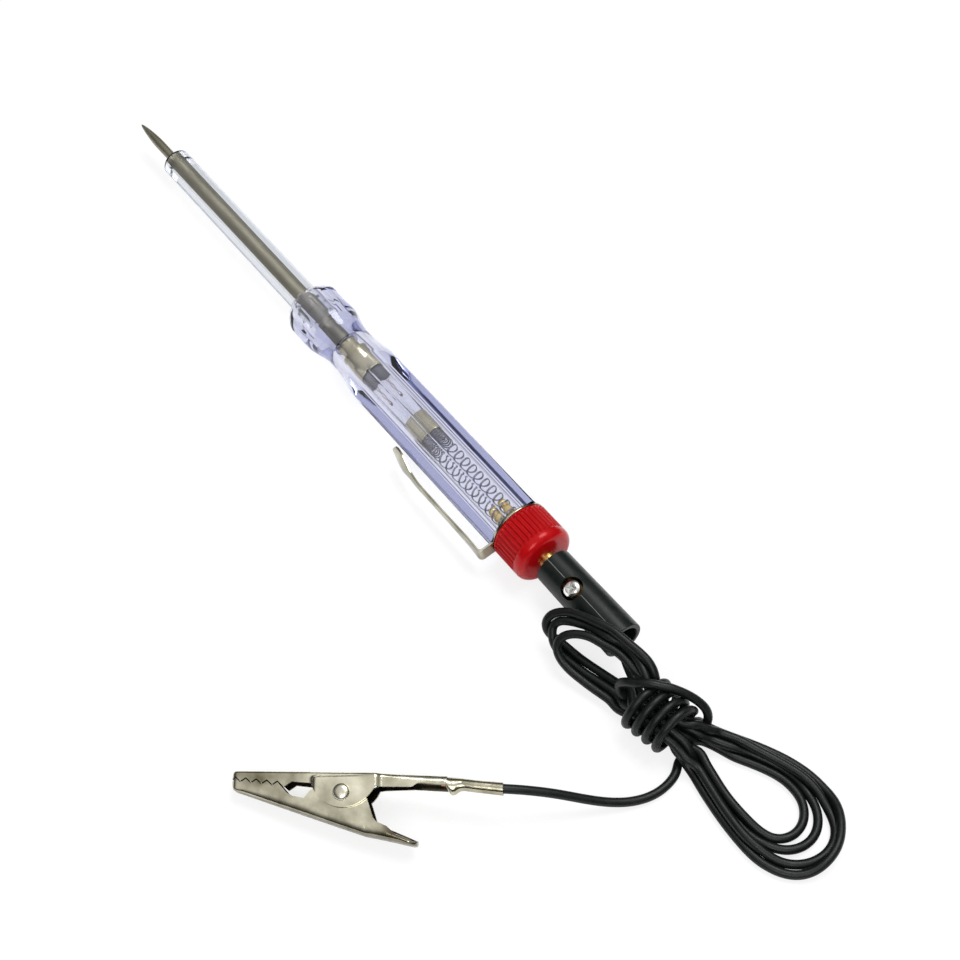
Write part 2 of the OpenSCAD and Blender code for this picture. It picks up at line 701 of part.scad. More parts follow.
module plan_block() {
    translate([0, plan_reach, 0]) rotate([90, 0, 0]) linear_extrude(height = 2 * plan_reach) children();
}

module rivet_hole(clearance) {
    cylinder(h = 3 * ear_w, d = rivet_d + 2 * clearance, center = true);
}

module on_crimp() {
    translate([crimp_x, crimp_y, 0]) rotate([0, 90, crimp_turn]) children();
}

module on_bell() {
    translate([bell_x, bell_y, 0]) rotate([0, 90, bell_turn]) children();
}

// The tail's near wall is cut away in front of the bell
module near_cut() {
    translate([0, 0, jaw_t]) linear_extrude(height = ear_w)
        polygon([[tail_x + 0.3, -1], [tail_x + 0.3, tail_y + 0.1], [tail_x + 1, 1.5], [13.9, 1.85],
            [bell_x - 0.1, 1.8], [bell_x - 0.1, -1]]);
}

module clip_upper_jaw() {
    color([0.8, 0.78, 0.68]) on_clip() difference() {
        union() {
            difference() {
                intersection() {
                    side_block() upper_side();
                    plan_block() upper_plan(0);
                }
                // The hollow under the back, closed at the nose
                intersection() {
                    side_block() polygon([[nose_x + 1.1, back_line(nose_x + 1.1) - jaw_t],
                        [hollow_end_x, back_line(hollow_end_x) - jaw_t], [hollow_end_x, -clip_low],
                        [nose_x + 1.1, -clip_low]]);
                    plan_block() upper_plan(jaw_t);
                }
            }
            on_bell() cylinder(h = bell_len, d1 = bell_d, d2 = crimp_d - 0.2);
            on_crimp() cylinder(h = crimp_len, d = crimp_d);
        }
        rivet_hole(fit);
        near_cut();
        on_crimp() translate([0, 0, -1]) cylinder(h = crimp_len + 2, d = cord_d);
        on_bell() translate([0, 0, -0.2]) cylinder(h = bell_len - 0.5, d1 = bell_d - 0.7, d2 = cord_d - 0.2);
    }
}

module clip_lower_jaw() {
    color([0.78, 0.76, 0.66]) on_clip() difference() {
        intersection() {
            side_block() lower_side();
            plan_block() lower_plan(0);
        }
        // The hollow above the sole, closed at the nose
        intersection() {
            side_block() polygon([[nose_x + 1.1, sole_line(nose_x + 1.1) + jaw_t],
                [heel_x, sole_line(heel_x) + jaw_t], lever_root + [0, jaw_t], lever_mid + [0, jaw_t],
                lever_end + [0, jaw_t], [13, lever_end[1] + jaw_t], [13, clip_low],
                [nose_x + 1.1, clip_low]]);
            plan_block() lower_plan(jaw_t);
        }
        rivet_hole(fit + 0.01);
    }
}

module clip_rivet() {
    face = ear_w / 2 + 0.02;
    color([0.85, 0.84, 0.8]) on_clip() rotate_extrude() polygon(concat(
        [[0, -face - 0.55]],
        [for (a = [80:-20:0]) [rivet_head_d / 2 * cos(a), -face - 0.55 * sin(a)]],
        [[rivet_d / 2, -face], [rivet_d / 2, face]],
        [for (a = [0:20:80]) [rivet_head_d / 2 * cos(a), face + 0.55 * sin(a)]],
        [[0, face + 0.55]]
    ));
}

// Clip spring: turns round the rivet, with one leg on each jaw
clip_coil_r = rivet_d / 2 + clip_wire / 2 + 0.25;
clip_turns = 3;
clip_coil_from = 42;
clip_coil_to = -59 + 360 * clip_turns;
clip_coil_w = (clip_turns + 1) * clip_wire * 1.1;
module clip_spring() {
    n = clip_turns * 12;
    coil = [for (i = [0:n]) let (a = clip_coil_from + (clip_coil_to - clip_coil_from) * i / n)
        [clip_coil_r * cos(a), clip_coil_r * sin(a), clip_coil_w * (i / n - 0.5) * 0.8]];
    upper_end = [7, back_line(7) - jaw_t - clip_wire / 2 - 0.08, clip_coil_w * 0.4];
    lower_end = [7.2, -6.2, -clip_coil_w * 0.4];
    color([0.7, 0.7, 0.68]) on_clip() swept_tube(concat([lower_end], coil, [upper_end]), clip_wire, 8);
}

module clip_wire_end() {
    color([0.75, 0.45, 0.3]) on_clip() on_crimp() translate([0, 0, -0.6])
        cylinder(h = crimp_seat + 0.6, d = wire_d);
}

probe_rod();
guard_sleeve();
handle();
ferrule();
lamp_front_cap();
lamp_glass();
lamp_mount();
lamp_filament();
lamp_rear_cap();
contact_spring();
cap_stud();
screw_cap();
pocket_clip();
plug_sleeve();
plug_core();
plug_screw();
cord_wire_end();
cord_lead();
cord_knot();
cord_long_loops();
cord_short_loops();
cord_run();
clip_upper_jaw();
clip_lower_jaw();
clip_rivet();
clip_spring();
clip_wire_end();
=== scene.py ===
"""Circuit test light, dressed: a steel probe in a clear sleeve, a clear violet handle
with a lamp and a spring in its bore, a pocket clip, a ribbed red cap, a black plug, and
a thin black lead tied in a hank that ends in a crocodile clip.

Sizes are in millimetres until a mesh is made. Stations s run along the tool from the
probe's point, and the tool's axis lies along X."""
import math
import bmesh
import bpy
import numpy as np
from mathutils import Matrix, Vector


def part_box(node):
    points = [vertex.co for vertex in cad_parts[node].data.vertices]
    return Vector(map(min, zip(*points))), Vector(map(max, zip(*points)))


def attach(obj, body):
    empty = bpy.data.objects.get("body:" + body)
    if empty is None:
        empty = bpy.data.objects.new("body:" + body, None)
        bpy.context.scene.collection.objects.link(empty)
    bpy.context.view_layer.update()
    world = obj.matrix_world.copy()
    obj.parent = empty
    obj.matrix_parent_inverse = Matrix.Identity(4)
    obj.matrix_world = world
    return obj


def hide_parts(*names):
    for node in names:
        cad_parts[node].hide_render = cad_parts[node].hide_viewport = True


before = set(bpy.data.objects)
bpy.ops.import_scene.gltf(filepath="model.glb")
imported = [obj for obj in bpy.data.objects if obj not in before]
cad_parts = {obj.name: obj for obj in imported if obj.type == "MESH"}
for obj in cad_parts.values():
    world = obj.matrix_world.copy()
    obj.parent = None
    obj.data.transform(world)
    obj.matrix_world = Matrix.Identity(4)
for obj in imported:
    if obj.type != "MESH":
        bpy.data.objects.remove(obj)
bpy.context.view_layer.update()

MM = 0.001
TAU = 2 * math.pi


# Sizes, read from the frame


def span(node):
    """Lowest and highest corner of a solid, in millimetres."""
    low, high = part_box(node)
    return np.array(low) / MM, np.array(high) / MM


ROD_LOW, ROD_HIGH = span("probe_rod")
TIP_X = ROD_LOW[0]
AXIS_Z = (ROD_LOW[2] + ROD_HIGH[2]) / 2


def stations(node):
    """Stations of a solid's near and far end."""
    low, high = span(node)
    return low[0] - TIP_X, high[0] - TIP_X


def radius(node, axis=1):
    """Largest radius of a solid about the tool's axis, read across unless axis is 2."""
    low, high = span(node)
    return (high[axis] - low[axis]) / 2


ROD_END = stations("probe_rod")[1]
SLEEVE_S, SLEEVE_END = stations("guard_sleeve")
GUARD_S, HANDLE_END = stations("handle")
FERRULE_S, FERRULE_END = stations("ferrule")
LAMP_S, LAMP_CAP_END = stations("lamp_front_cap")
REAR_CAP_S, REAR_CAP_END = stations("lamp_rear_cap")
SPRING_S, SPRING_END = stations("contact_spring")
STUD_S, STUD_END = stations("cap_stud")
CAP_S, CAP_END = stations("screw_cap")
PROBE_R = radius("probe_rod")
SLEEVE_R = radius("guard_sleeve")
GLASS_R = radius("lamp_glass")
SPRING_R = radius("contact_spring")
CAP_R = radius("screw_cap", axis=2)

# Sizes that only the looks need

POINT_LEN, POINT_FLAT, POINT_POWER = 8.8, 0.125, 0.7
# The sleeve's rim size is the width of the band of painted shade at its mouth.
SLEEVE_MOUTH, SLEEVE_SHADE_RIM, SLEEVE_GAP = 0.12, 0.4, 0.16
SEAT_STEP = 0.2
GUARD_R, GUARD_FLATS, GUARD_FACE_R, GUARD_LEN = 5.95, 2 * AXIS_Z, 4.3, 14.5
DRUM_END = 6.5
NECK_R, NECK_LEN, FLARE_LEN = 4.65, 1.5, 13.0
GRIP_FLATS, GRIP_ROUND_R = 10.75, 6.35
BORE_R = 2.6
MOUNT_R, MOUNT_TAPER = 1.7, 3.1
CORD_D = 1.5


# Meshes


def new_object(name, data):
    thing = bpy.data.objects.new(name, data)
    bpy.context.scene.collection.objects.link(thing)
    return thing


def smooth_object(name, mesh, crease):
    """A piece whose edges stay sharp where they turn by more than crease degrees."""
    mesh.shade_smooth()
    mesh.set_sharp_from_angle(angle=math.radians(crease))
    return new_object(name, mesh)


def add_mesh(name, points, faces, crease=35, shade=None):
    """A closed mesh from points in millimetres. Doubles at seams and poles are merged,
    and the faces are turned outwards. The points' share of painted shade, if given, is
    kept for the material."""
    mesh = bpy.data.meshes.new(name)
    mesh.from_pydata((np.asarray(points) * MM).tolist(), [], [list(f) for f in faces])
    if shade is not None:
        share = mesh.attributes.new("shade", "FLOAT", "POINT")
        share.data.foreach_set("value", np.asarray(shade, np.float32))
    work = bmesh.new()
    work.from_mesh(mesh)
    bmesh.ops.remove_doubles(work, verts=work.verts, dist=0.0005 * MM)
    bmesh.ops.dissolve_degenerate(work, edges=work.edges, dist=0.0002 * MM)
    bmesh.ops.recalc_face_normals(work, faces=work.faces)
    work.to_mesh(mesh)
    work.free()
    return smooth_object(name, mesh, crease)


def grid_faces(rows, columns, closed_rows=False):
    """Quads between the points of a grid. Its columns close on themselves, and with
    closed_rows its rows do too."""
    r = np.arange(rows if closed_rows else rows - 1)[:, None]
    c = np.arange(columns)[None]
    here, there = r * columns, (r + 1) % rows * columns
    right = (c + 1) % columns
    return np.stack([here + c, there + c, there + right, here + right], -1).reshape(-1, 4)


def capped_faces(rows, columns):
    """The quads of a grid, and one face over each end."""
    points = rows * columns
    ends = [list(range(columns)), list(range(points - 1, points - columns - 1, -1))]
    return grid_faces(rows, columns).tolist() + ends


def join_parts(*parts):
    """Several (points, faces) as one."""
    points, faces, start = [], [], 0
    for p, f in parts:
        points.append(np.asarray(p).reshape(-1, 3))
        faces += [[int(i) + start for i in face] for face in f]
        start += len(points[-1])
    return np.concatenate(points), faces


def along_tool(s, across, up):
    """Points in the frame from stations along the tool and offsets from its axis."""
    return np.stack(np.broadcast_arrays(s + TIP_X, across, AXIS_Z + up), -1)


def round_tool(s, reach, angle):
    """Points in the frame from stations, and reaches and angles about the axis."""
    return along_tool(s, -reach * np.sin(angle), reach * np.cos(angle))


def turned(profile, sides=96, shape=None):
    """A body turned about the tool's axis. Its profile is a list of (station, radius),
    and shape, if given, changes the radius at each station and angle."""
    profile = np.array(profile, float)
    angle = np.linspace(0, TAU, sides, endpoint=False)[None]
    s, r = profile[:, :1], profile[:, 1:]
    reach = r if shape is None else shape(s, r, angle)
    return round_tool(s, reach, angle).reshape(-1, 3), grid_faces(len(profile), sides)


def lengths_of(ways):
    """The length of each row, as a column."""
    return np.linalg.norm(ways, axis=1, keepdims=True)


def eased(profile, size):
    """A profile whose inner corners are rounded: each corner becomes a curve that leaves
    one side at size from the corner and meets the other side at the same distance."""
    points = np.array(profile, float)
    t = np.linspace(0, 1, 5)[:, None]
    out = [points[:1]]
    for before, corner, after in zip(points[:-2], points[1:-1], points[2:]):
        ways = np.array([before - corner, after - corner])
        lengths = np.maximum(lengths_of(ways), 1e-9)
        start, end = corner + ways / lengths * min(size, 0.45 * lengths.min())
        out.append((1 - t) ** 2 * start + 2 * t * (1 - t) * corner + t ** 2 * end)
    return np.concatenate([*out, points[-1:]])


def rotated(a, b, angle):
    """Two coordinates turned by an angle, from the first towards the second."""
    c, s = np.cos(angle), np.sin(angle)
    return a * c - b * s, a * s + b * c


def quarter_turn(count):
    """Angles from nothing to a quarter turn."""
    return np.linspace(0, TAU / 4, count)


def along_path(path, wire_r, sides=12):
    """A round wire along a path. Each ring stands square to the path, and its first
    direction is the path's direction crossed with a fixed side, kept off the path."""
    way = np.gradient(path, axis=0)
    way /= lengths_of(way)
    one = np.cross(way, (0.31, -0.22, 0.93))
    one /= lengths_of(one)
    two = np.cross(way, one)
    angle = np.linspace(0, TAU, sides, endpoint=False)[:, None]
    ring = one[:, None] * np.cos(angle) + two[:, None] * np.sin(angle)
    points = (path[:, None] + wire_r * ring).reshape(-1, 3)
    return points, capped_faces(len(path), sides)


def solid_copy(name, node, rounding=0.0):
    """A merged copy of a solid's own mesh, with its sharp edges rounded by a Bevel."""
    crease = 35
    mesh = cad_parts[node].data.copy()
    work = bmesh.new()
    work.from_mesh(mesh)
    bmesh.ops.remove_doubles(work, verts=work.verts, dist=0.0005 * MM)
    work.to_mesh(mesh)
    work.free()
    thing = smooth_object(name, mesh, crease)
    if rounding:
        soften(thing, rounding, crease)
    return thing


def soften(thing, size, crease=38):
    """Rounds a piece's sharp edges with a Bevel."""
    bevel = thing.modifiers.new("rounded edges", "BEVEL")
    bevel.width = size * MM
    bevel.segments = 2
    bevel.limit_method = "ANGLE"
    bevel.angle_limit = math.radians(crease)
    bevel.use_clamp_overlap = True
    bevel.harden_normals = True
    return bevel


def soften_ends(thing, size):
    """Rounds the sharp edges at a piece's two ends along the tool, and no others."""
    near_end, sharp = 0.05 * MM, 0.6
    work = bmesh.new()
    work.from_mesh(thing.data)
    along = [v.co.x for v in work.verts]
    first, last = min(along) + near_end, max(along) - near_end
    weight = work.edges.layers.float.new("bevel_weight_edge")
    for edge in work.edges:
        x = [v.co.x for v in edge.verts]
        edge[weight] = float((max(x) < first or min(x) > last)
                             and edge.calc_face_angle(0) > sharp)
    work.to_mesh(thing.data)
    work.free()
    soften(thing, size).limit_method = "WEIGHT"


def dress(thing, slot, *nodes, body="tester", other_material=None):
    """Gives a piece its material and its body, and hides the solids that it stands for.
    The material is the slot's own, unless finish names another."""
    thing.data.materials.clear()
    thing.data.materials.append(MATERIALS[other_material or slot])
    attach(thing, body)
    if nodes:
        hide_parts(*nodes)
    return thing


# Camera: above the plug's side of the tool, looking back towards the probe

CAMERA_AT = (0.194387, -0.104743, 0.228)
LOOK_DOWN = math.radians(51.1)
LOOK_TURN = math.radians(36.1)


def place_camera():
    data = bpy.data.cameras.new("camera")
    data.lens = 60
    data.sensor_width = 36
    data.clip_start = 0.01
    camera = new_object("camera", data)
    camera.location = CAMERA_AT
    camera.rotation_euler = (math.pi / 2 - LOOK_DOWN, 0, math.pi / 2 - LOOK_TURN)
    bpy.context.scene.camera = camera


# Cord: a route, listed in millimetres, then settled as a soft wire would lie

KNOT_AT = np.array([105.6, -4.2, 4.9])
KNOT_TURN = math.radians(10)
CRIMP_SEAT = [(101.6, -32.65, 6.86), (100.2, -34.06, 6.68)]
LEAD = [(83.2, 0, 5.7), (85.4, 0, 5.7), (88, 0, 5.6), (90.5, -0.2, 5.1), (93.5, -1.6, 4),
        (97, -2.6, 3.6)]
LONG_TURNS = [
    [(111, 0.2, 1.8), (115, 2.4, 0.8), (119.5, 4.8, 0.8), (123.5, 6.4, 0.8), (126.5, 6.6, 0.8),
     (129, 5.8, 0.8), (131, 4.2, 0.8), (132, 2, 0.8), (131.9, -0.4, 0.8), (130.5, -2.4, 0.8),
     (128, -3.5, 1), (125, -4, 1.6), (121, -3.7, 2.1), (116.5, -2.9, 2.2), (112.5, -2.4, 2.6)],
    [(110.6, 0.4, 2.6), (114.5, 2.6, 2), (119, 5.6, 1.2), (123, 7.5, 0.8), (126.2, 7.9, 0.8),
     (129.4, 7.5, 0.8), (132, 6.2, 0.8), (133.6, 4.4, 0.8), (134.4, 2.2, 0.8), (134.1, -0.3, 0.8),
     (132.8, -2.5, 0.8), (130.2, -4, 0.8), (127, -4.5, 0.8), (122.6, -4.3, 0.8),
     (118.4, -3.7, 0.8), (113, -2.8, 1.5)],
    [(110.2, 0.9, 3.2), (113.8, 3, 2.7), (118, 5.5, 2.3), (122, 7.3, 2.2), (126, 8.5, 2),
     (129.5, 8.8, 1.4), (132.3, 8.3, 0.9), (134.8, 7.2, 0.8), (136.6, 5.2, 0.8),
     (137.3, 2.8, 0.8), (137.1, 0.1, 0.8), (136, -2.2, 0.8), (134.2, -4, 0.8), (131.4, -5.3, 1.5),
     (127.7, -6, 2.2), (122.6, -5.5, 2.2), (118, -4.6, 2.2), (113.2, -3.8, 2.7)],
    [(109.6, 1.9, 2), (112.6, 4.2, 0.9), (117, 6.9, 0.8), (121.4, 9, 0.8), (125.6, 10.2, 0.8),
     (129.8, 10.2, 1), (133.4, 9, 1.8), (136, 6.9, 2.2), (137.8, 4.4, 2.2), (138.6, 1.4, 2),
     (138.4, -1.2, 1.2), (137.3, -3.4, 0.8), (135.3, -5.2, 0.8), (132.4, -6.3, 0.8),
     (128.6, -6.7, 0.8), (123.8, -6.4, 0.8), (119, -5.7, 0.8), (114.4, -4.8, 0.9),
     (111, -4, 1.8)],
]
SHORT_TURNS = [
    [(100.8, -5.8, 2.4), (97.1, -6.8, 1.8), (93.6, -7.9, 1.8), (90.5, -9, 2.2), (87.7, -9.6, 2.8),
     (85.6, -9.7, 3.8), (84.5, -9.3, 5), (84.3, -8.4, 6.2), (85, -7.2, 7), (86.4, -6, 7.6),
     (88.2, -4.9, 8), (90.5, -3.9, 8.2), (93, -3.1, 8.2), (95.4, -2.7, 8), (97.7, -2.5, 7.6),
     (99.8, -2.4, 7)],
    [(99.8, -5.4, 2.8), (96.4, -6.1, 2.2), (93, -6.9, 2), (89.5, -7.6, 1.8), (86.4, -8.1, 2),
     (83.8, -8.3, 2.8), (82, -8.3, 3.8), (81.2, -7.9, 5), (81.4, -7, 6.2), (82.6, -5.8, 7.1),
     (84.4, -4.7, 7.8), (86.7, -3.7, 8.4), (89.3, -2.8, 8.8), (92, -2.2, 9), (94.7, -1.9, 9),
     (97, -1.8, 8.7), (99.4, -1.8, 8)],
    [(98.8, -4.8, 3.4), (95.3, -4.8, 2.8), (92.4, -5.4, 2.5), (89.2, -6.2, 2.4), (86, -7, 2.4),
     (83.4, -7.8, 2.8), (81.4, -8.3, 3.6), (80.2, -8.2, 5), (79.8, -7.4, 6.4), (80.7, -6, 7.3),
     (82.4, -4.9, 8), (84.9, -4, 8.8), (87.5, -3.3, 9.3), (90, -2.6, 9.6), (92.4, -2, 9.7),
     (94.8, -1.6, 9.6), (97.1, -1.4, 9.2), (99.6, -1.4, 8.6)],
]
TIE = [(97.6, -5.6, 3.6), (96.9, -6.2, 5.4), (97.3, -6.3, 7.4), (99.2, -5.7, 9),
       (101.4, -4.4, 9.9), (103.2, -2.7, 10.1), (105, -0.9, 9.7), (106.8, 0.7, 8.6),
       (108.2, 1.9, 7), (109.2, 2.3, 6.6), (110.2, 2.3, 4.6), (110.2, 1.2, 2.9)]
RUN = [(109.8, -2.6, 0.8), (111.1, -3.8, 0.8), (112.4, -5.4, 0.8), (113.4, -7.5, 0.8),
       (114, -10, 0.8), (113.9, -12.6, 0.8), (113.1, -15.2, 0.9), (112, -17.5, 1.3),
       (110.6, -19.8, 2), (109, -22.1, 3), (107.4, -24.3, 4.1), (105.8, -26.5, 5.1),
       (104.4, -28.6, 5.9), (103, -30.6, 6.5)]
UNDER = [(3.2, 0.4, -3.2), (0, 0.8, -3.5), (-2.6, 1.6, -3.6)]
FAR_PLACES = [(0.2, -0.6), (1.5, -0.9), (0.9, 1.1), (2.2, 0.6)]
NEAR_PLACES = [(-1.5, -1.5), (-0.8, 0.9), (-2.3, 0.2), (-0.2, -2.2)]
WRAP_TURNS, WRAP_PITCH, WRAP_R = 3.9, 2.1, 4.4


def knot_point(along, across, up):
    """Places in the knot, along and across the hank and up from the knot's middle."""
    place = np.broadcast_arrays(*rotated(along, across, KNOT_TURN), up)
    return KNOT_AT + np.stack(place, -1)


def through_knot(place):
    """Three places in a line along the hank, through one place across the knot."""
    return knot_point(np.array([-2.5, 0, 2.5]), *place)


def wraps():
    """The turns round the hank's waist: a helix that is widest over its first turns."""
    per_turn, first_angle, first_along, wider = 12, 262, -4.3, 1.1
    step = np.arange(int(WRAP_TURNS * per_turn) + 1)
    a = np.radians(first_angle - 360 / per_turn * step)
    r = WRAP_R + wider * np.maximum(0, np.cos(a)) * (1 - step / step[-1])
    return knot_point(first_along + WRAP_PITCH * step / per_turn, r * np.cos(a), r * np.sin(a))


def chosen_route():
    """The lead from the plug, through the knot and round the long and the short turns,
    over the knot, round its waist and on to the clip."""
    route = [LEAD]
    for i, turn in enumerate(LONG_TURNS):
        route += [through_knot(FAR_PLACES[i]), turn, through_knot(NEAR_PLACES[i])[::-1]]
        route += SHORT_TURNS[i:i + 1]
    return np.concatenate([*route, TIE, knot_point(*np.transpose(UNDER)), wraps(), RUN,
                           CRIMP_SEAT])


def even_steps(points, step):
    """A line through the points, with its own points a step apart."""
    way = np.concatenate([[0], np.cumsum(lengths_of(np.diff(points, axis=0)))])
    at = np.linspace(0, way[-1], int(round(way[-1] / step)) + 1)
    return np.stack([np.interp(at, way, points[:, i]) for i in range(3)], 1)


def lap(line, reach=1):
    """How far the middle of a point's neighbours, reach points away, lies from it."""
    out = np.zeros_like(line)
    out[reach:-reach] = (line[:-2 * reach] + line[2 * reach:]) / 2 - line[reach:-reach]
    return out


def rounded_line(line, times=12, hold=4):
    """Each point goes halfway to the middle of its neighbours, apart from hold points
    at each end."""
    line = line.copy()
    for _ in range(times):
        line[hold:-hold] += 0.5 * lap(line)[hold:-hold]
    return line


def settled(line, step, rounds=240, hold=14, least_bend=2.7):
    """Strands nearer than a diameter push apart, the plug and the table hold them off,
    bends tighter than least_bend ease out, and the wire's stiffness and a weak pull
    towards the chosen route keep it smooth and in place."""
    line = line.copy()
    home = line.copy()
    index = np.arange(len(line))
    free = ((index >= hold) & (index < len(line) - hold)).astype(float)[:, None]
    plug_r, plug_x = 3.65, 91
    stiffness, smoothing, pull, push_share, ease_share = 0.35, 0.01, 0.012, 0.25, 0.3
    search_every, search_reach, neighbours = 15, 1.5, 8
    for turn in range(rounds):
        if turn % search_every == 0:
            gap = np.linalg.norm(line[:, None] - line[None], axis=2)
            a, b = np.nonzero((gap < CORD_D * search_reach)
                              & (index[None] - index[:, None] > neighbours))
        apart = line[a] - line[b]
        distance = lengths_of(apart) + 1e-6
        push = apart / distance * np.clip(CORD_D - distance, 0, None) * push_share
        move = np.zeros_like(line)
        np.add.at(move, a, push)
        np.add.at(move, b, -push)
        line += move * free
        off_axis = line[:, 1:] - np.array([0, AXIS_Z])
        out = lengths_of(off_axis) + 1e-6
        beside = ((line[:, :1] < plug_x) & (out > 2)).astype(float)
        inside = np.clip(plug_r + CORD_D / 2 - out, 0, None)
        line[:, 1:] += off_axis / out * inside * beside * free
        line[:, 2] = np.maximum(line[:, 2], CORD_D / 2 + 0.01)
        for reach in (1, 3):
            sag = lap(line, reach)
            size = lengths_of(sag) + 1e-9
            over = np.clip(size - (step * reach) ** 2 / (2 * least_bend), 0, None)
            line += ease_share * sag / size * over * free
        curve = lap(line)
        line += (smoothing * curve - stiffness * lap(curve) + pull * (home - line)) * free
    return line


def make_cord():
    """The lead as a curve, its line, and its length in metres."""
    step = 0.5
    line = settled(rounded_line(even_steps(chosen_route(), step)), step)
    data = bpy.data.curves.new("lead_cord", "CURVE")
    data.dimensions = "3D"
    data.bevel_depth = CORD_D / 2 * MM
    data.bevel_resolution = 5
    data.use_fill_caps = True
    spline = data.splines.new("POLY")
    spline.points.add(len(line) - 1)
    spline.points.foreach_set("co", np.c_[line * MM, np.ones(len(line))].ravel())
    spline.use_smooth = True
    cord = dress(new_object("lead_cord", data), "cord_jacket", "cord_lead", "cord_knot",
                 "cord_long_loops", "cord_short_loops", "cord_run")
    return cord, line, lengths_of(np.diff(line, axis=0)).sum() * MM


# Materials

EVEN = (1, 1, 1)


def wire_up(tree, node, inputs):
    """Sets a node's inputs, or links them where the value is another node's output."""
    for key, value in inputs.items():
        if isinstance(value, bpy.types.NodeSocket):
            tree.links.new(value, node.inputs[key])
        else:
            node.inputs[key].default_value = value


def add_node(tree, kind, inputs=None):
    node = tree.nodes.new("ShaderNode" + kind)
    wire_up(tree, node, inputs or {})
    return node


def nodes_of(name):
    material = bpy.data.materials.new(name)
    material.use_nodes = True
    return material, material.node_tree, material.node_tree.nodes["Principled BSDF"]


def object_noise(tree, scale, stretch=EVEN, detail=4.0):
    """Noise on Object coordinates, in metres, stretched along the axes."""
    place = add_node(tree, "TexCoord").outputs["Object"]
    mapping = add_node(tree, "Mapping", {"Vector": place, "Scale": stretch})
    noise = add_node(tree, "TexNoise", {"Vector": mapping.outputs["Vector"],
                                        "Scale": scale, "Detail": detail})
    return noise.outputs["Fac"]


def ramp(tree, source, low, high):
    """Colours or greys between 0.3 and 0.7 of a texture's value."""
    node = add_node(tree, "ValToRGB", {"Fac": source})
    for stop, at, colour in zip(node.color_ramp.elements, (0.3, 0.7), (low, high)):
        stop.position, stop.color = at, (*colour, 1)
    return node.outputs["Color"]


def bump(tree, source, height_mm):
    """Relief from a texture, as a normal."""
    return add_node(tree, "Bump", {"Height": source, "Strength": 1.0,
                                   "Distance": height_mm * MM}).outputs["Normal"]


def shaded(tree, base, other):
    """A colour that turns to another, painted shade, by the share of shade that the mesh marks.
    """
    mark = add_node(tree, "Attribute")
    mark.attribute_name = "shade"
    return add_node(tree, "MixRGB", {"Fac": mark.outputs["Fac"], "Color1": base,
                                     "Color2": (*other, 1)}).outputs["Color"]


def patterned(name, dark, light, rough, scale, stretch, relief, inner, more):
    """Colour, gloss and a fine relief from one stretched noise, and more inputs. Where
    the mesh marks shade, as inside a pressed sheet, it takes the inner colour, painted shade."""
    material, tree, shader = nodes_of(name)
    noise = object_noise(tree, scale, stretch)
    colour = ramp(tree, noise, dark, light)
    wire_up(tree, shader, {
        "Base Color": shaded(tree, colour, inner) if inner else colour,
        "Roughness": ramp(tree, noise, *[(value,) * 3 for value in rough]),
        "Normal": bump(tree, noise, relief), **more})
    return material


def metal(name, dark, light, rough, scale=900, stretch=EVEN, relief=0.0008, inner=None):
    """Plated or drawn metal."""
    return patterned(name, dark, light, rough, scale, stretch, relief, inner, {"Metallic": 1.0})


def plastic(name, dark, light, rough=0.4, scale=700, relief=0.001, mirror=0.5, sheen=EVEN):
    """Moulded plastic: nearly even colour with faint flow marks."""
    spread = (rough * 0.85, rough * 1.15)
    return patterned(name, dark, light, spread, scale, EVEN, relief, None,
                     {"Specular IOR Level": mirror, "Specular Tint": (*sheen, 1)})


def clear(name, tint, depth_tint, density, relief=0.0015, ior=1.49, rough=0.015, rim=None):
    """Clear plastic or glass. Its body takes colour with depth, and it lets the lamps'
    light through to what it holds. A cut edge, where the mesh marks shade, is darkened
    to the rim colour as painted shade."""
    material, tree, shader = nodes_of(name)
    base = (*tint, 1)
    wire_up(tree, shader, {
        "Base Color": base, "Transmission Weight": 1.0, "IOR": ior, "Roughness": rough,
        "Normal": bump(tree, object_noise(tree, 350, detail=2.0), relief)})
    if rim:
        wire_up(tree, shader, {"Base Color": shaded(tree, base, rim)})
    through = add_node(tree, "BsdfTransparent", {"Color": base})
    mix = add_node(tree, "MixShader", {
        "Fac": add_node(tree, "LightPath").outputs["Is Shadow Ray"],
        1: shader.outputs["BSDF"], 2: through.outputs["BSDF"]})
    body = add_node(tree, "VolumeAbsorption", {"Color": (*depth_tint, 1), "Density": density})
    wire_up(tree, tree.nodes["Material Output"],
            {"Surface": mix.outputs["Shader"], "Volume": body.outputs["Volume"]})
    return material


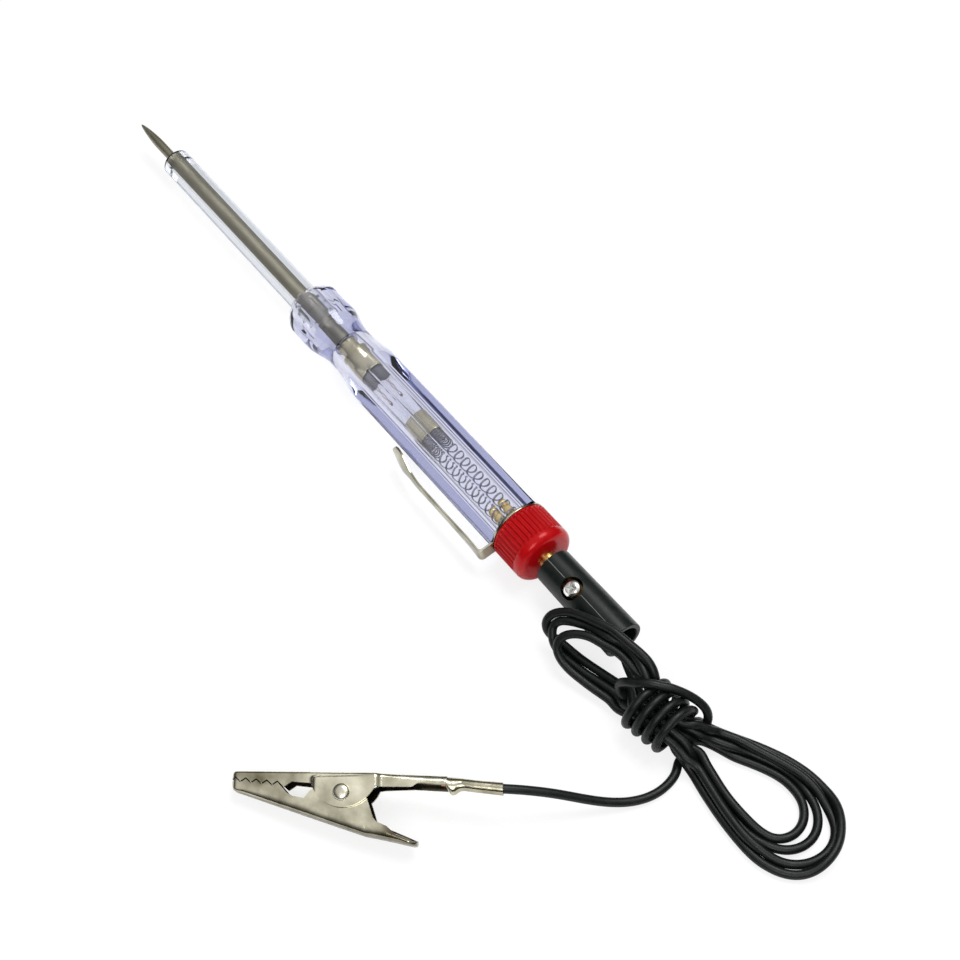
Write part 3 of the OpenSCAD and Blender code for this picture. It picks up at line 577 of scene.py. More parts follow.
METALS = {
    "probe_steel": ((0.24, 0.225, 0.165), (0.29, 0.27, 0.205), (0.44, 0.52), 700, (0.25, 1, 1)),
    "lamp_nickel": ((0.42, 0.385, 0.25), (0.60, 0.56, 0.39), (0.16, 0.22), 200, EVEN, 0.0002),
    "filament_wire": ((0.30, 0.20, 0.17), (0.45, 0.32, 0.28), (0.3, 0.4)),
    "spring_steel": ((0.17, 0.17, 0.19), (0.26, 0.26, 0.28), (0.16, 0.22)),
    "brass": ((0.76, 0.55, 0.17), (0.84, 0.64, 0.24), (0.24, 0.3), 250, EVEN, 0.0002),
    "strap_steel": ((0.26, 0.25, 0.18), (0.50, 0.48, 0.38), (0.14, 0.22), 260, EVEN, 0.03),
    # The core's brass is darkened nearly to black: painted shade in the screw hole.
    "core_brass": ((0.035, 0.022, 0.006), (0.08, 0.05, 0.015), (0.3, 0.4), 800),
    "screw_steel": ((0.76, 0.76, 0.74), (0.83, 0.83, 0.81), (0.14, 0.2)),
    "copper_wire": ((0.5, 0.24, 0.13), (0.72, 0.38, 0.22), (0.25, 0.4)),
    # clip_nickel's last colour is painted shade: the inside of the pressed sheet and of the tube
    # is darkened.
    "clip_nickel": ((0.16, 0.145, 0.085), (0.86, 0.82, 0.65), (0.13, 0.24), 150, EVEN, 0.09,
                    (0.10, 0.085, 0.06)),
    "rivet_steel": ((0.50, 0.47, 0.37), (0.66, 0.63, 0.52), (0.22, 0.3)),
}
PLASTICS = {
    "lamp_mount": ((0.05, 0.052, 0.05), (0.08, 0.08, 0.077), 0.4, 600, 0.003),
    "red_plastic": ((0.34, 0.002, 0.004), (0.38, 0.003, 0.005), 0.17, 500, 0.001, 0.5,
                    (1, 0.3, 0.3)),
    "black_plastic": ((0.003, 0.005, 0.005), (0.005, 0.008, 0.007), 0.34, 700, 0.001, 0.25),
    "barrel_seam": ((0.17, 0.18, 0.16), (0.22, 0.23, 0.2)),
    "cord_jacket": ((0.002, 0.003, 0.003), (0.004, 0.005, 0.005), 0.42, 900, 0.002, 0.25),
}
CLEARS = {
    # The clear plastic's last colour is painted shade for the sleeve's cut edge.
    "clear_plastic": ((0.97, 0.975, 0.98), (0.66, 0.69, 0.75), 150, 0.0015, 1.49, 0.015,
                      (0.01, 0.01, 0.02)),
    "violet_plastic": ((0.972, 0.972, 0.98), (0.21, 0.25, 0.60), 70, 0.0008),
    "lamp_glass": ((0.98, 0.98, 0.985), (0.9, 0.93, 0.95), 8, 0.0005, 1.5, 0.01),
}
MATERIALS = {name: make(name, *look)
             for make, looks in ((metal, METALS), (plastic, PLASTICS), (clear, CLEARS))
             for name, look in looks.items()}


# Probe and sleeve


def make_probe():
    """A rod with a ground point: the radius grows as a power of a sine over the point."""
    t = np.linspace(0, 1, 40)
    rise = np.sin(TAU / 4 * t) ** POINT_POWER
    point = np.c_[POINT_LEN * t, POINT_FLAT + (PROBE_R - POINT_FLAT) * rise]
    profile = np.concatenate([[(0, 0)], point, [(ROD_END, PROBE_R), (ROD_END, 0)]])
    dress(add_mesh("probe", *turned(profile, 64)), "probe_steel", "probe_rod")


def make_sleeve():
    """A clear sleeve that clings to the probe. Its mouth is a quarter circle, with a
    dark rim of painted shade on both sides. The bore stands off the probe on one side
    only, by a bell curve of the angle."""
    sides, fade = 144, 0.05
    face_r, side_s = SLEEVE_R - SLEEVE_MOUTH, SLEEVE_S + SLEEVE_MOUTH
    a = quarter_turn(8)[::-1]
    curve = np.c_[side_s - SLEEVE_MOUTH * np.sin(a), face_r + SLEEVE_MOUTH * np.cos(a)]
    mouth = np.concatenate([
        [(SLEEVE_S, face_r - SLEEVE_SHADE_RIM), (SLEEVE_S, face_r - SLEEVE_SHADE_RIM + fade)], curve,
        [(side_s + SLEEVE_SHADE_RIM - fade, SLEEVE_R), (side_s + SLEEVE_SHADE_RIM, SLEEVE_R)]])
    seat_r, bore_r = SLEEVE_R - SEAT_STEP, PROBE_R - 0.03
    profile = np.concatenate([mouth, [
        (GUARD_S, SLEEVE_R), (GUARD_S, seat_r), (SLEEVE_END, seat_r), (SLEEVE_END, bore_r),
        (GUARD_S, bore_r), (SLEEVE_S, bore_r)]])

    def off_probe(s, r, angle):
        gap = SLEEVE_GAP * np.exp(-((angle - math.radians(106)) / math.radians(14)) ** 2)
        return r + np.where(r < PROBE_R, gap, 0)

    # The cut edge at the mouth takes painted shade.
    shade = np.zeros(len(profile))
    shade[1:len(mouth) - 1] = 1
    points, _ = turned(profile, sides, off_probe)
    faces = grid_faces(len(profile), sides, closed_rows=True)
    sleeve = add_mesh("sleeve", points, faces, shade=np.repeat(shade, sides))
    dress(sleeve, "clear_plastic", "guard_sleeve")


# Handle


def ease(t):
    """A smooth rise from 0 to 1, as half a cosine."""
    return (1 - np.cos(math.pi * np.clip(t, 0, 1))) / 2


def hexagon(flats, angle, blunt=0.1):
    """Reach of a six-sided bar from its axis, flat side up, with blunted corners."""
    local = (angle + TAU / 12) % (TAU / 6) - TAU / 12
    return np.minimum(flats / 2 / np.cos(local), flats / 2 / math.cos(TAU / 12) - blunt)


def guard_reach(s):
    """Round reach of the guard: a rounded front with a groove, a drum, and a fall to
    the neck."""
    front_len, groove_at = 3, 3.4
    s = s - GUARD_S
    turn = TAU / 4 * np.clip(s / front_len, 0, 1)
    front = GUARD_FACE_R + (GUARD_R - GUARD_FACE_R) * np.sin(turn)
    fall = ease((s - DRUM_END) / (GUARD_LEN - DRUM_END))
    groove = 0.22 * np.clip(1 - np.abs(s - groove_at) / 0.45, 0, 1)
    return np.where(s < front_len, front, GUARD_R - (GUARD_R - NECK_R) * fall) - groove


def handle_reach(s, angle):
    """The guard's round form cut by its hexagon, and behind the neck the grip's."""
    neck = GUARD_S + GUARD_LEN
    flare = ease((s - neck - NECK_LEN) / FLARE_LEN)
    grip = NECK_R + (GRIP_ROUND_R - NECK_R) * flare
    return np.where(s < neck, np.minimum(guard_reach(s), hexagon(GUARD_FLATS, angle)),
                    np.minimum(grip, hexagon(GRIP_FLATS, angle)))


def make_handle():
    """A clear moulding: the outer form, the end face, the lamp's bore, and at the front
    the socket that the sleeve sits in."""
    sides = 216
    angle = np.linspace(0, TAU, sides, endpoint=False)[None]
    flare_s = GUARD_S + GUARD_LEN + NECK_LEN
    marks = [GUARD_S, GUARD_S + DRUM_END, flare_s, flare_s + FLARE_LEN, HANDLE_END]
    steps = [np.linspace(a, b, count) for a, b, count in zip(marks, marks[1:], (40, 36, 40, 8))]
    s = np.concatenate([steps[0]] + [part[1:] for part in steps[1:]])
    outer = handle_reach(s[:, None], angle)
    seat_r = SLEEVE_R - SEAT_STEP + 0.04
    seat_s = SLEEVE_END + 0.05
    floor, edge, bevel = FERRULE_S - 0.2, 0.15, 0.3
    even = np.ones_like(angle)
    rows = [(seat_s, 0 * even), (seat_s, seat_r * even), (GUARD_S, seat_r * even),
            *zip(s, outer[:, None]),
            (HANDLE_END, outer[-1:] - edge), (HANDLE_END, BORE_R * even),
            (floor + bevel, BORE_R * even), (floor, (BORE_R - bevel) * even), (floor, 0 * even)]
    points = round_tool(np.array([row[0] for row in rows])[:, None],
                        np.concatenate([row[1] for row in rows]), angle)
    handle = add_mesh("clear_handle", points.reshape(-1, 3), grid_faces(len(rows), sides), 18)
    dress(handle, "violet_plastic", "handle")


# Lamp and spring


def make_lamp():
    """Two metal caps on a glass tube, the rod's ferrule and the wires' dark mount."""
    round_off, lip, tip_r = 0.12, GLASS_R + 0.05, 0.35
    cap_r, flange_r, rear_r, pin_r = 2.35, 2.5, 2.25, 0.8
    ferrule = [(FERRULE_S, 0), (FERRULE_S, 2.05), (FERRULE_S + 0.6, 2.05),
               (FERRULE_S + 0.62, 1.8), (FERRULE_END, 1.8), (FERRULE_END, 0)]
    dress(add_mesh("rod_ferrule", *turned(eased(ferrule, round_off))), "lamp_nickel", "ferrule")
    front = [(LAMP_S, 0), (LAMP_S, flange_r), (LAMP_S + 0.6, flange_r), (LAMP_S + 0.62, cap_r),
             (LAMP_CAP_END - 0.1, cap_r), (LAMP_CAP_END, lip + 0.01), (LAMP_CAP_END - 0.3, lip),
             (LAMP_CAP_END - 2.5, lip), (LAMP_CAP_END - 2.5, 0)]
    dress(add_mesh("lamp_cap_front", *turned(eased(front, round_off))), "lamp_nickel",
          "lamp_front_cap")
    start, end = stations("lamp_glass")
    wall = 0.3
    shell = [turned(eased([(a, 0), (a, r), (b, r), (b, 0)], corner)) for a, b, r, corner in (
        (start, end, GLASS_R, 0.5), (start + wall, end - wall, GLASS_R - wall, 0.4))]
    dress(add_mesh("lamp_tube", *join_parts(*shell)), "lamp_glass", "lamp_glass")
    mount_s = stations("lamp_mount")[0]
    t = np.linspace(0, 1, 16)
    taper = np.c_[LAMP_CAP_END + 0.2 + MOUNT_TAPER * t, MOUNT_R - (MOUNT_R - tip_r) * t ** 1.6]
    mount = np.concatenate([[(mount_s, 0), (mount_s, MOUNT_R)], taper,
                            [(taper[-1, 0] + 0.15, 0)]])
    dress(add_mesh("wire_mount", *turned(mount)), "lamp_mount", "lamp_mount")
    shoulder = REAR_CAP_END - 0.9
    rear = [(REAR_CAP_S + 2.5, 0), (REAR_CAP_S + 2.5, lip - 0.01), (REAR_CAP_S, lip),
            (REAR_CAP_S, rear_r), (shoulder, rear_r), (shoulder, pin_r),
            (REAR_CAP_END, pin_r), (REAR_CAP_END, 0)]
    dress(add_mesh("lamp_cap_rear", *turned(eased(rear, round_off))), "lamp_nickel",
          "lamp_rear_cap")


def make_filament():
    """Two fine leads that turn once round each other from the mount's tip, and a coil at
    their ends: a helix whose radius swells and falls as a sine."""
    lead_r, apart, lead_turns = 0.055, 0.15, 1.1
    coil_wire, coil_turns, coil_len, overlap = 0.03, 9, 0.6, 0.1
    start, end = LAMP_CAP_END + MOUNT_TAPER, stations("lamp_filament")[1]
    t = np.linspace(0, 1, 60)
    wires = []
    for side in (0, math.pi):
        turn = side + TAU * lead_turns * t
        lead = along_tool(start + (end - coil_len - start) * t, apart * np.cos(turn),
                          apart * np.sin(turn))
        wires.append(along_path(lead, lead_r, 8))
    a = np.linspace(0, 1, 200)
    coil_r = 0.06 + 0.12 * np.sin(math.pi * a)
    turn = TAU * coil_turns * a
    coil = along_tool(end - coil_len - overlap + coil_len * a, coil_r * np.cos(turn),
                      coil_r * np.sin(turn))
    wires.append(along_path(coil, coil_wire, 6))
    dress(add_mesh("lamp_wires", *join_parts(*wires)), "filament_wire", "lamp_filament")


def make_spring():
    """A helix: the rise per turn is small over the close turns, grows over two turns to
    the open pitch, and is nearly nothing over the last half turn, on the stud."""
    wire_r, close, turns, pitch = 0.18, 4, 16, 0.54
    turn = np.linspace(0, turns, turns * 48)
    share = ease((turn - close) / 2) * (1 - ease((turn - turns + 0.7) / 0.3))
    step = turn[1] - turn[0]
    close_rise = np.concatenate([[0], np.cumsum((1 - share[1:]) * pitch * step)])
    open_rise = np.concatenate([[0], np.cumsum(share[1:] * step)])
    length = SPRING_END - SPRING_S - 2 * wire_r
    rise = close_rise + open_rise * (length - close_rise[-1]) / open_rise[-1]
    path = round_tool(SPRING_S + wire_r + rise, SPRING_R - wire_r, TAU * turn)
    dress(add_mesh("lamp_spring", *along_path(path, wire_r)), "spring_steel", "contact_spring")


# Cap and stud


def make_stud():
    """A turned brass stud: a ball nose, a groove, and a plug whose thread is cut as a
    helical wave."""
    nose, seat, step = STUD_S, SPRING_END, CAP_S + 1.2
    ball_r, groove_r, plug_r, shank_r, round_off = 1.44, 1.01, 2.5, 1.7, 0.08
    t = np.linspace(0, 2.35, 24)
    ball = np.c_[nose + 1 - np.cos(t), ball_r * np.sin(t) ** 0.85]
    neck = eased([(nose + 1.75, groove_r), (nose + 2.15, groove_r), (nose + 2.3, ball_r),
                  (seat, ball_r), (seat, plug_r), (seat + 0.3, plug_r)], round_off)
    thread_s = np.linspace(seat + 0.3, step - 0.2, 60)
    thread = np.c_[thread_s, np.full(len(thread_s), plug_r)]
    shank = eased([(step - 0.2, plug_r), (step, shank_r), (STUD_END, shank_r), (STUD_END, 0)],
                  round_off)
    start, end, pitch, depth = seat + 0.4, step - 0.4, 0.7, 0.3

    def cut(s, r, angle):
        wave = np.abs(((s / pitch - angle / TAU) % 1) - 0.5) * 2
        return r - np.where((s > start) & (s < end), depth * wave, 0)

    points, faces = turned(np.concatenate([ball, neck, thread, shank]), shape=cut)
    dress(add_mesh("brass_stud", points, faces), "brass", "cap_stud")


def make_cap():
    """The red cap: a band with round grooves, a rounded shoulder, and a slightly domed
    end face round the stud's shank."""
    ribs, depth, band, curve, dome = 40, 0.35, 5.2, 1.5, 0.15
    shank_hole, thread_hole = 1.74, 2.54
    face_s, floor_s = CAP_END - 0.5, CAP_S + 1.2
    band_end = face_s - dome - curve
    a = quarter_turn(20)
    shoulder = np.c_[band_end + curve * np.sin(a), CAP_R - curve * (1 - np.cos(a))]
    inner, outer = shank_hole + 0.5, CAP_R - curve
    face_r = np.linspace(outer, inner, 8)[1:]
    face = np.c_[face_s - dome * ((face_r - inner) / (outer - inner)) ** 1.6, face_r]
    profile = np.concatenate([
        [(floor_s, shank_hole), (floor_s, thread_hole), (CAP_S, thread_hole),
         (CAP_S, CAP_R - 0.3), (CAP_S + 0.08, CAP_R - 0.1), (CAP_S + 0.25, CAP_R)],
        np.c_[np.linspace(CAP_S + 0.35, band_end - 0.02, 26), np.full(26, CAP_R)],
        shoulder, face,
        [(face_s, shank_hole + 0.05), (face_s - 0.08, shank_hole), (floor_s, shank_hole)]])

    def grooved(s, r, angle):
        phase = np.abs(((angle / TAU * ribs + 0.5) % 1) - 0.5) * 2
        groove = np.sqrt(np.clip(1 - (phase / 0.72) ** 2, 0, 1))
        start = np.clip((s - CAP_S - 0.4) / 0.2, 0, 1)
        end = np.clip((CAP_S + band + 0.6 - s) / 0.35, 0, 1)
        return r - depth * groove * start * end * (r > CAP_R - 0.6)

    points, faces = turned(profile, ribs * 14, grooved)
    dress(add_mesh("red_cap", points, faces, crease=40), "red_plastic", "screw_cap")


def make_pale_bead():
    """A pale low bead along the barrel's cone, with a triangular section, left out at
    the screw hole. It lies at a fixed angle beside the screw."""
    start, end = stations("plug_sleeve")
    start, end = start + 0.1, end - 0.1
    hole = sum(stations("plug_screw")) / 2
    turn, wide, high, sunk = math.radians(25.4), 0.16, 0.07, -0.03
    slim_r, grows, beside_hole = 3.45, 0.2, 2.2
    offset, lift = np.array([-wide / 2, 0, wide / 2]), np.array([sunk, high, sunk])
    parts = []
    for a, b in ((start, hole - beside_hole), (hole + beside_hole, end)):
        s = np.linspace(a, b, 12)[:, None]
        r = slim_r + grows * (s - start) / (end - start)
        parts.append((round_tool(s, r + lift, turn + offset / r), capped_faces(12, 3)))
    seam = add_mesh("barrel_seam", *join_parts(*parts))
    dress(seam, "black_plastic", other_material="barrel_seam")


# Pocket clip

LEAF_LEN, LEAF_W, ARM_W, ROOT_W = 7.2, 2.1, 1.1, 1.5


def strap_width(s, end, root):
    """Half the strap's width: an elliptic tip, a leaf, a slim arm, and a wider root."""
    widest = end + 0.45 * LEAF_LEN
    tip = LEAF_W * np.sqrt(np.clip(1 - 0.94 * ((widest - s) / (widest - end)) ** 2, 0, 1))
    leaf = (LEAF_W - ARM_W) * ease(1 - (s - widest) / (0.55 * LEAF_LEN))
    return np.where(s < widest, tip, ARM_W + leaf + (ROOT_W - ARM_W) * ease((s - root + 12) / 12))


def make_strap():
    """A pressed strip: a ring under the cap, and a strap that leaves it through a quarter
    circle. The strap's reach falls as a power 1.5 over the leaf. Its section is an arch of
    height a(1 - v^2) across half widths v, which rolls about the strap's own line."""
    thick, ring_r, hole_r, reach, length, bend, lean = 0.4, 5.7, 2.6, 8.6, 28.5, 0.9, 1.5
    leaf_roll, round_the_tool = math.radians(11), math.radians(100)
    ring_s, back_s, end = HANDLE_END, HANDLE_END + thick, HANDLE_END - length
    s_arm = np.linspace(end, back_s - bend, 84)
    fall = np.clip(1 - (s_arm - end) / (1.4 * LEAF_LEN), 0, None) ** 1.5
    a = quarter_turn(9)[1:]
    s_path = np.concatenate([s_arm, back_s - bend + bend * np.sin(a), [back_s] * 2])[:, None]
    r_path = np.concatenate([reach - lean * fall, reach - bend + bend * np.cos(a),
                             [ring_r + 0.6, ring_r - 1.2]])[:, None]
    ds, dr = np.gradient(s_path, axis=0), np.gradient(r_path, axis=0)
    size = np.hypot(ds, dr)
    v = np.linspace(-1, 1, 15)[None]
    half = strap_width(s_path, end, ring_s) * v
    fade = np.clip((ring_s - 0.6 - s_path) / 3, 0, 1)
    height = (0.16 + 0.14 * ease((end + 8 - s_path) / 6)) * (1 - v ** 2) * fade - 0.16 * fade
    roll = leaf_roll * ease((end + 12 - s_path) / 8)
    sheet = []
    for lift in (height, height - thick):
        across, out = rotated(half, lift, roll)
        sheet.append(np.stack([s_path - dr / size * out, across, r_path + ds / size * out], -1))
    loop = np.concatenate([sheet[0], sheet[1][:, ::-1]], 1)
    s, across, out = loop.reshape(-1, 3).T
    up, aside = rotated(out, across, round_the_tool)
    strap = along_tool(s, -aside, up)
    ring = eased([(ring_s, hole_r), (ring_s, ring_r), (back_s, ring_r), (back_s, hole_r),
                  (ring_s, hole_r)], 0.05)
    thing = add_mesh("pocket_strap",
                     *join_parts((strap, capped_faces(*loop.shape[:2])), turned(ring)))
    soften(thing, 0.07)
    dress(thing, "strap_steel", "pocket_clip")


# Crocodile clip: pressed sheet. In its own frame X runs from the nose to the crimp, Y
# from the lower jaw to the back of the upper jaw, and Z along the rivet.

CLIP_AT = np.array([86.6, -52.2, 3.7])
CLIP_YAW, CLIP_PITCH, CLIP_LEAN = math.radians(51.5), math.radians(7), math.radians(17)
SHEET = 0.45
NOSE_X, BITE_X, BITE_Y, BITE_FALL = -17.9, -17.3, 2.66, 0.135
TOOTH_PITCH, TOOTH_H, TEETH, BITE_GAP = 1.73, 0.65, 4, 0.24
EAR_X, EAR_Y, EAR_R, EAR_LIFT = 0.3, 3.1, 5.4, 0.55


def on_clip(points):
    """Places in the clip's frame, leaned about X, pitched about Y and turned about Z."""
    x, y, z = np.moveaxis(np.asarray(points, float), -1, 0)
    y, z = rotated(y, z, CLIP_LEAN)
    x, z = rotated(x, z, CLIP_PITCH)
    return np.stack([*rotated(x, y, CLIP_YAW), z], -1) + CLIP_AT


def zigzag(shift):
    """The corners of the teeth: up and down by half a tooth about a falling line."""
    i = np.arange(2 * TEETH + 1)
    x = i * TOOTH_PITCH / 2
    y = BITE_Y - BITE_FALL * x + (0.5 - i % 2) * TOOTH_H + shift
    return list(zip(BITE_X + x, y))


def level(corners):
    """A height over x between corners, as straight lines."""
    x, y = np.array(corners, float).T
    return lambda at: np.interp(at, x, y)


def channel(stops, floor, near, far, half, up, bends):
    """A pressed channel along x. Each section runs from the near edge up its wall, round
    a bend, across the floor and down the far wall, and back on the inside, one sheet
    away. The walls meet in front of the nose, which closes the channel. The third result
    is 1 on the inside, where the material paints shade."""
    x = np.asarray(stops, float)[:, None]
    base, bend = floor(x), bends(x)
    near_edge_steps = np.array([0, 0.12, 0.24, 0.36, 0.48])[None]
    part = np.linspace(0, 1, 10)[None, 1:]
    closed = ease((NOSE_X + 1.1 - x) / 0.35)
    least, deepest, inner_depth = 0.02, 0.75, 0.35

    def wall(edge, reach):
        tall = np.maximum(np.abs(base - edge) - reach, 0.05)
        first = near_edge_steps * np.minimum(1, 0.4 * tall / near_edge_steps[0, -1])
        rest = first[:, -1:] + (tall - first[:, -1:]) * part
        return base - up * (reach + np.concatenate([first, rest], 1))

    def side(edge, sign, inset):
        reach = bend if inset == 0 else np.maximum(bend - SHEET * 0.5, 0.1) + SHEET
        deep = np.minimum(reach, deepest)
        y = wall(edge, reach)
        z = half(x, y) - inset
        a = quarter_turn(9)[None]
        top = half(x, base - up * reach) - inset
        bend_y = base - up * (reach - (reach - inset) * np.sin(a))
        bend_z = top - (deep - min(inset, inner_depth)) * (1 - np.cos(a))
        if inset:
            z = z * (1 - closed) + least * closed
            bend_z = np.clip(bend_z, least, None) * (1 - closed) + least * closed
        ys = np.concatenate([y[:, ::-1], bend_y[:, 1:]], 1)
        zs = np.concatenate([np.clip(z[:, ::-1], least, None), bend_z[:, 1:]], 1)
        return np.stack([np.broadcast_to(x, ys.shape), ys, sign * zs], -1)

    outer, inner = (np.concatenate([side(near(x), 1, inset), side(far(x), -1, inset)[:, ::-1]], 1)
                    for inset in (0, SHEET))
    loop = np.concatenate([outer, inner[:, ::-1]], 1)
    rows, columns = loop.shape[:2]
    count = columns // 2
    i = np.arange(count - 1)
    strip = np.stack([i, i + 1, columns - 2 - i, columns - 1 - i], -1)
    faces = np.concatenate([grid_faces(rows, columns), strip,
                            (strip + (rows - 1) * columns)[:, ::-1]])
    inside = np.tile((np.arange(columns) >= count).astype(float), rows)
    return loop.reshape(-1, 3), faces, inside


def stops_of(corners, extra):
    """The x places of all corners, with steps of 0.25 mm between them."""
    x = np.unique(np.round(np.concatenate([[c[0] for c in corners], extra]), 4))
    fine = [np.linspace(a, b, max(int(math.ceil((b - a) / 0.25)), 1) + 1)[:-1]
            for a, b in zip(x[:-1], x[1:])]
    return np.concatenate([*fine, x[-1:]])


def back_line(x):
    """The height of the upper jaw's back, which falls along a straight line."""
    return 3.2 - 0.045 * x


def ear_arc():
    """The ears' round edge below the rivet, a circle's arc."""
    a = np.linspace(math.radians(196.1), math.radians(335.4), 34)
    return list(zip(EAR_X + EAR_R * np.cos(a), EAR_Y + EAR_R * np.sin(a)))


NOSE_STEPS, NOSE_HALVES = [NOSE_X, NOSE_X + 0.25, NOSE_X + 0.7], [0.6, 1.0, 1.2]


def upper_half(x, y):
    """Half the upper jaw's width: a taper from the nose, and an ear raised by a ramp in
    front, behind and under the back."""
    base = np.interp(x, NOSE_STEPS + [-5.7, 5.7, 16.3], NOSE_HALVES + [2.1, 2.1, 1.25])
    ear = ease((x + 5.3) / 1.3) * ease((6.3 - x) / 1.2) * ease((2.9 - y) / 0.6)
    return base + EAR_LIFT * ear


def lower_half(x, y):
    """Half the lower jaw's width: a taper from the nose, and one to the lever's tip."""
    return np.interp(x, NOSE_STEPS + [-5, 7, 10.6, 11.3, 11.7],
                     NOSE_HALVES + [2.05, 2.05, 1.7, 1.25, 0.8]) + 0 * y


def crimp_tube():
    """The bell and the crimp: oval rings between a top line and a bottom line. The bottom
    bulges to the bell's lip and draws in at the neck, and the lip's lower part stands
    back along x. The third result is 1 on the inside, where the material paints shade."""
    x = np.concatenate([np.linspace(15.3, 18.9, 26), np.linspace(19.1, 24.86, 30)])[:, None]
    top = np.interp(x, [15.3, 16.1, 18.5, 20.9, 24.9], [2.5, 2.47, 2.19, 1.86, 1.44])
    bottom = np.interp(x, [15.3, 15.7, 16.1, 16.6, 17.3, 17.8, 18.3, 18.9, 20, 24.9],
                       [1.0, 0.35, -0.2, -0.4, -0.3, 0, 0.22, 0.24, 0.06, -0.6])
    middle, tall = (top + bottom) / 2, (top - bottom) / 2
    wide = np.interp(x, [15.3, 17, 18.5, 25], [1.3, 1.2, 1.0, 1.03])
    wall = np.interp(x, [15.3, 18, 25], [0.3, 0.28, 0.26])
    sides, lip_back = 40, 0.6
    a = np.linspace(0, TAU, sides, endpoint=False)[None]

    def rings(less):
        back = lip_back * (1 - np.cos(a)) / 2 * ease((18.4 - x) / 3)
        return np.stack([x + back, middle + (tall - less) * np.cos(a),
                         (wide - less) * np.sin(a)], -1)

    loop = np.concatenate([rings(0), rings(wall)[::-1]], 0)
    inside = np.repeat(np.arange(len(loop)) >= len(x), sides).astype(float)
    return loop.reshape(-1, 3), grid_faces(len(loop), sides, closed_rows=True), inside


def make_upper_jaw():
    """The jaw with the ears: a channel whose edge follows the teeth, a window, the ears'
    arc and the tail; the near wall is cut away before the bell."""
    front = [(NOSE_X, BITE_Y)]
    body = [(-9.3, 1.15), (-8.1, 1.95), (-4.95, 1.6)] + ear_arc()
    far = front + zigzag(0.03) + body + [(10.9, 0.82), (16.2, 0.35)]
    near = front + zigzag(BITE_GAP / 2) + body + [
        (10.7, 0.82), (11.0, 0.95), (11.5, 1.3), (12.2, 1.6), (13.2, 1.8), (14.4, 1.8),
        (15.5, 1.6), (16.2, 1.5)]
    bends = level([(-17, 0.5), (-8, 0.55), (6, 0.6), (11, 1.0), (15, 1.2)])

    def floor(at):
        drop = np.clip((NOSE_X + 0.6 - at) / 0.6, 0, 1)
        return back_line(at) - 0.5 * (1 - np.sqrt(1 - drop ** 2))

    x = stops_of(near + far, [NOSE_X + 0.12, NOSE_X + 0.25, NOSE_X + 1.1])
    # The inside of the sheet and of the tube take painted shade.
    *sheet, sheet_shade = channel(x, floor, level(near), level(far), upper_half, 1, bends)
    *tube, tube_shade = crimp_tube()
    points, faces = join_parts(sheet, tube)
    jaw = add_mesh("jaw_upper", on_clip(points), faces, 38,
                   np.concatenate([sheet_shade, tube_shade]))
    soften(jaw, 0.06)
    return dress(jaw, "clip_nickel", "clip_upper_jaw")


def make_lower_jaw():
    """The jaw with the thumb lever: the same channel upside down, whose sole falls from
    the nose to the heel and on under the lever. Painted shade darkens the inside, the
    sole's edge and the lever's near wall."""
    sole = level([(NOSE_X, 1.6), (NOSE_X + 0.12, 1.32), (NOSE_X + 0.3, 1.02), (-17.3, 0.83),
                  (3.4, -6.31), (5.2, -6.65), (7.8, -7.25), (11.2, -8.1), (11.5, -8.1),
                  (11.7, -7.95)])
    front = [(NOSE_X, BITE_Y - 0.3)]
    body = [(-8.75, 0.2), (-7.8, -0.3), (-6, -0.68), (-5.05, 0.5), (-2.4, 1.9), (0, 2.3),
            (2.4, 1.5), (3.9, -0.8), (4.5, -2.6), (4.9, -3.8), (5.5, -4.5), (7.1, -5.2)]
    far = front + zigzag(-0.03) + body + [(10.3, -6.6), (11.4, -7.15), (11.7, -7.5)]
    near = front + zigzag(-BITE_GAP / 2) + body + [
        (7.7, -5.75), (8.6, -6.5), (9.8, -7.1), (11.2, -7.7), (11.7, -7.7)]
    bends = level([(-17.5, 0.4), (-16, 0.8), (-9, 1.5), (4, 1.9), (8, 0.9), (11, 0.4)])
    x = stops_of(near + far, [NOSE_X + 0.12, NOSE_X + 0.3, NOSE_X + 1.1, 3.4, 5.2, 7.8, 11.2,
                              11.5])
    points, faces, inside = channel(x, sole, level(near), level(far), lower_half, -1, bends)
    at, y, z = points.T
    # Painted shade along the sole's edge and on the lever's near wall.
    height = y - sole(at)
    under = 0.6 * ease((0.3 - height) / 0.2)
    lever = 0.95 * ease((at - 6) / 2) * ease((height - 0.35) / 0.2) * ease((z + 0.2) / 0.2)
    jaw = add_mesh("jaw_lower", on_clip(points), faces, 38,
                   np.maximum(inside, np.maximum(under, lever)))
    soften(jaw, 0.06)
    return dress(jaw, "clip_nickel", "clip_lower_jaw", body="lower_jaw")


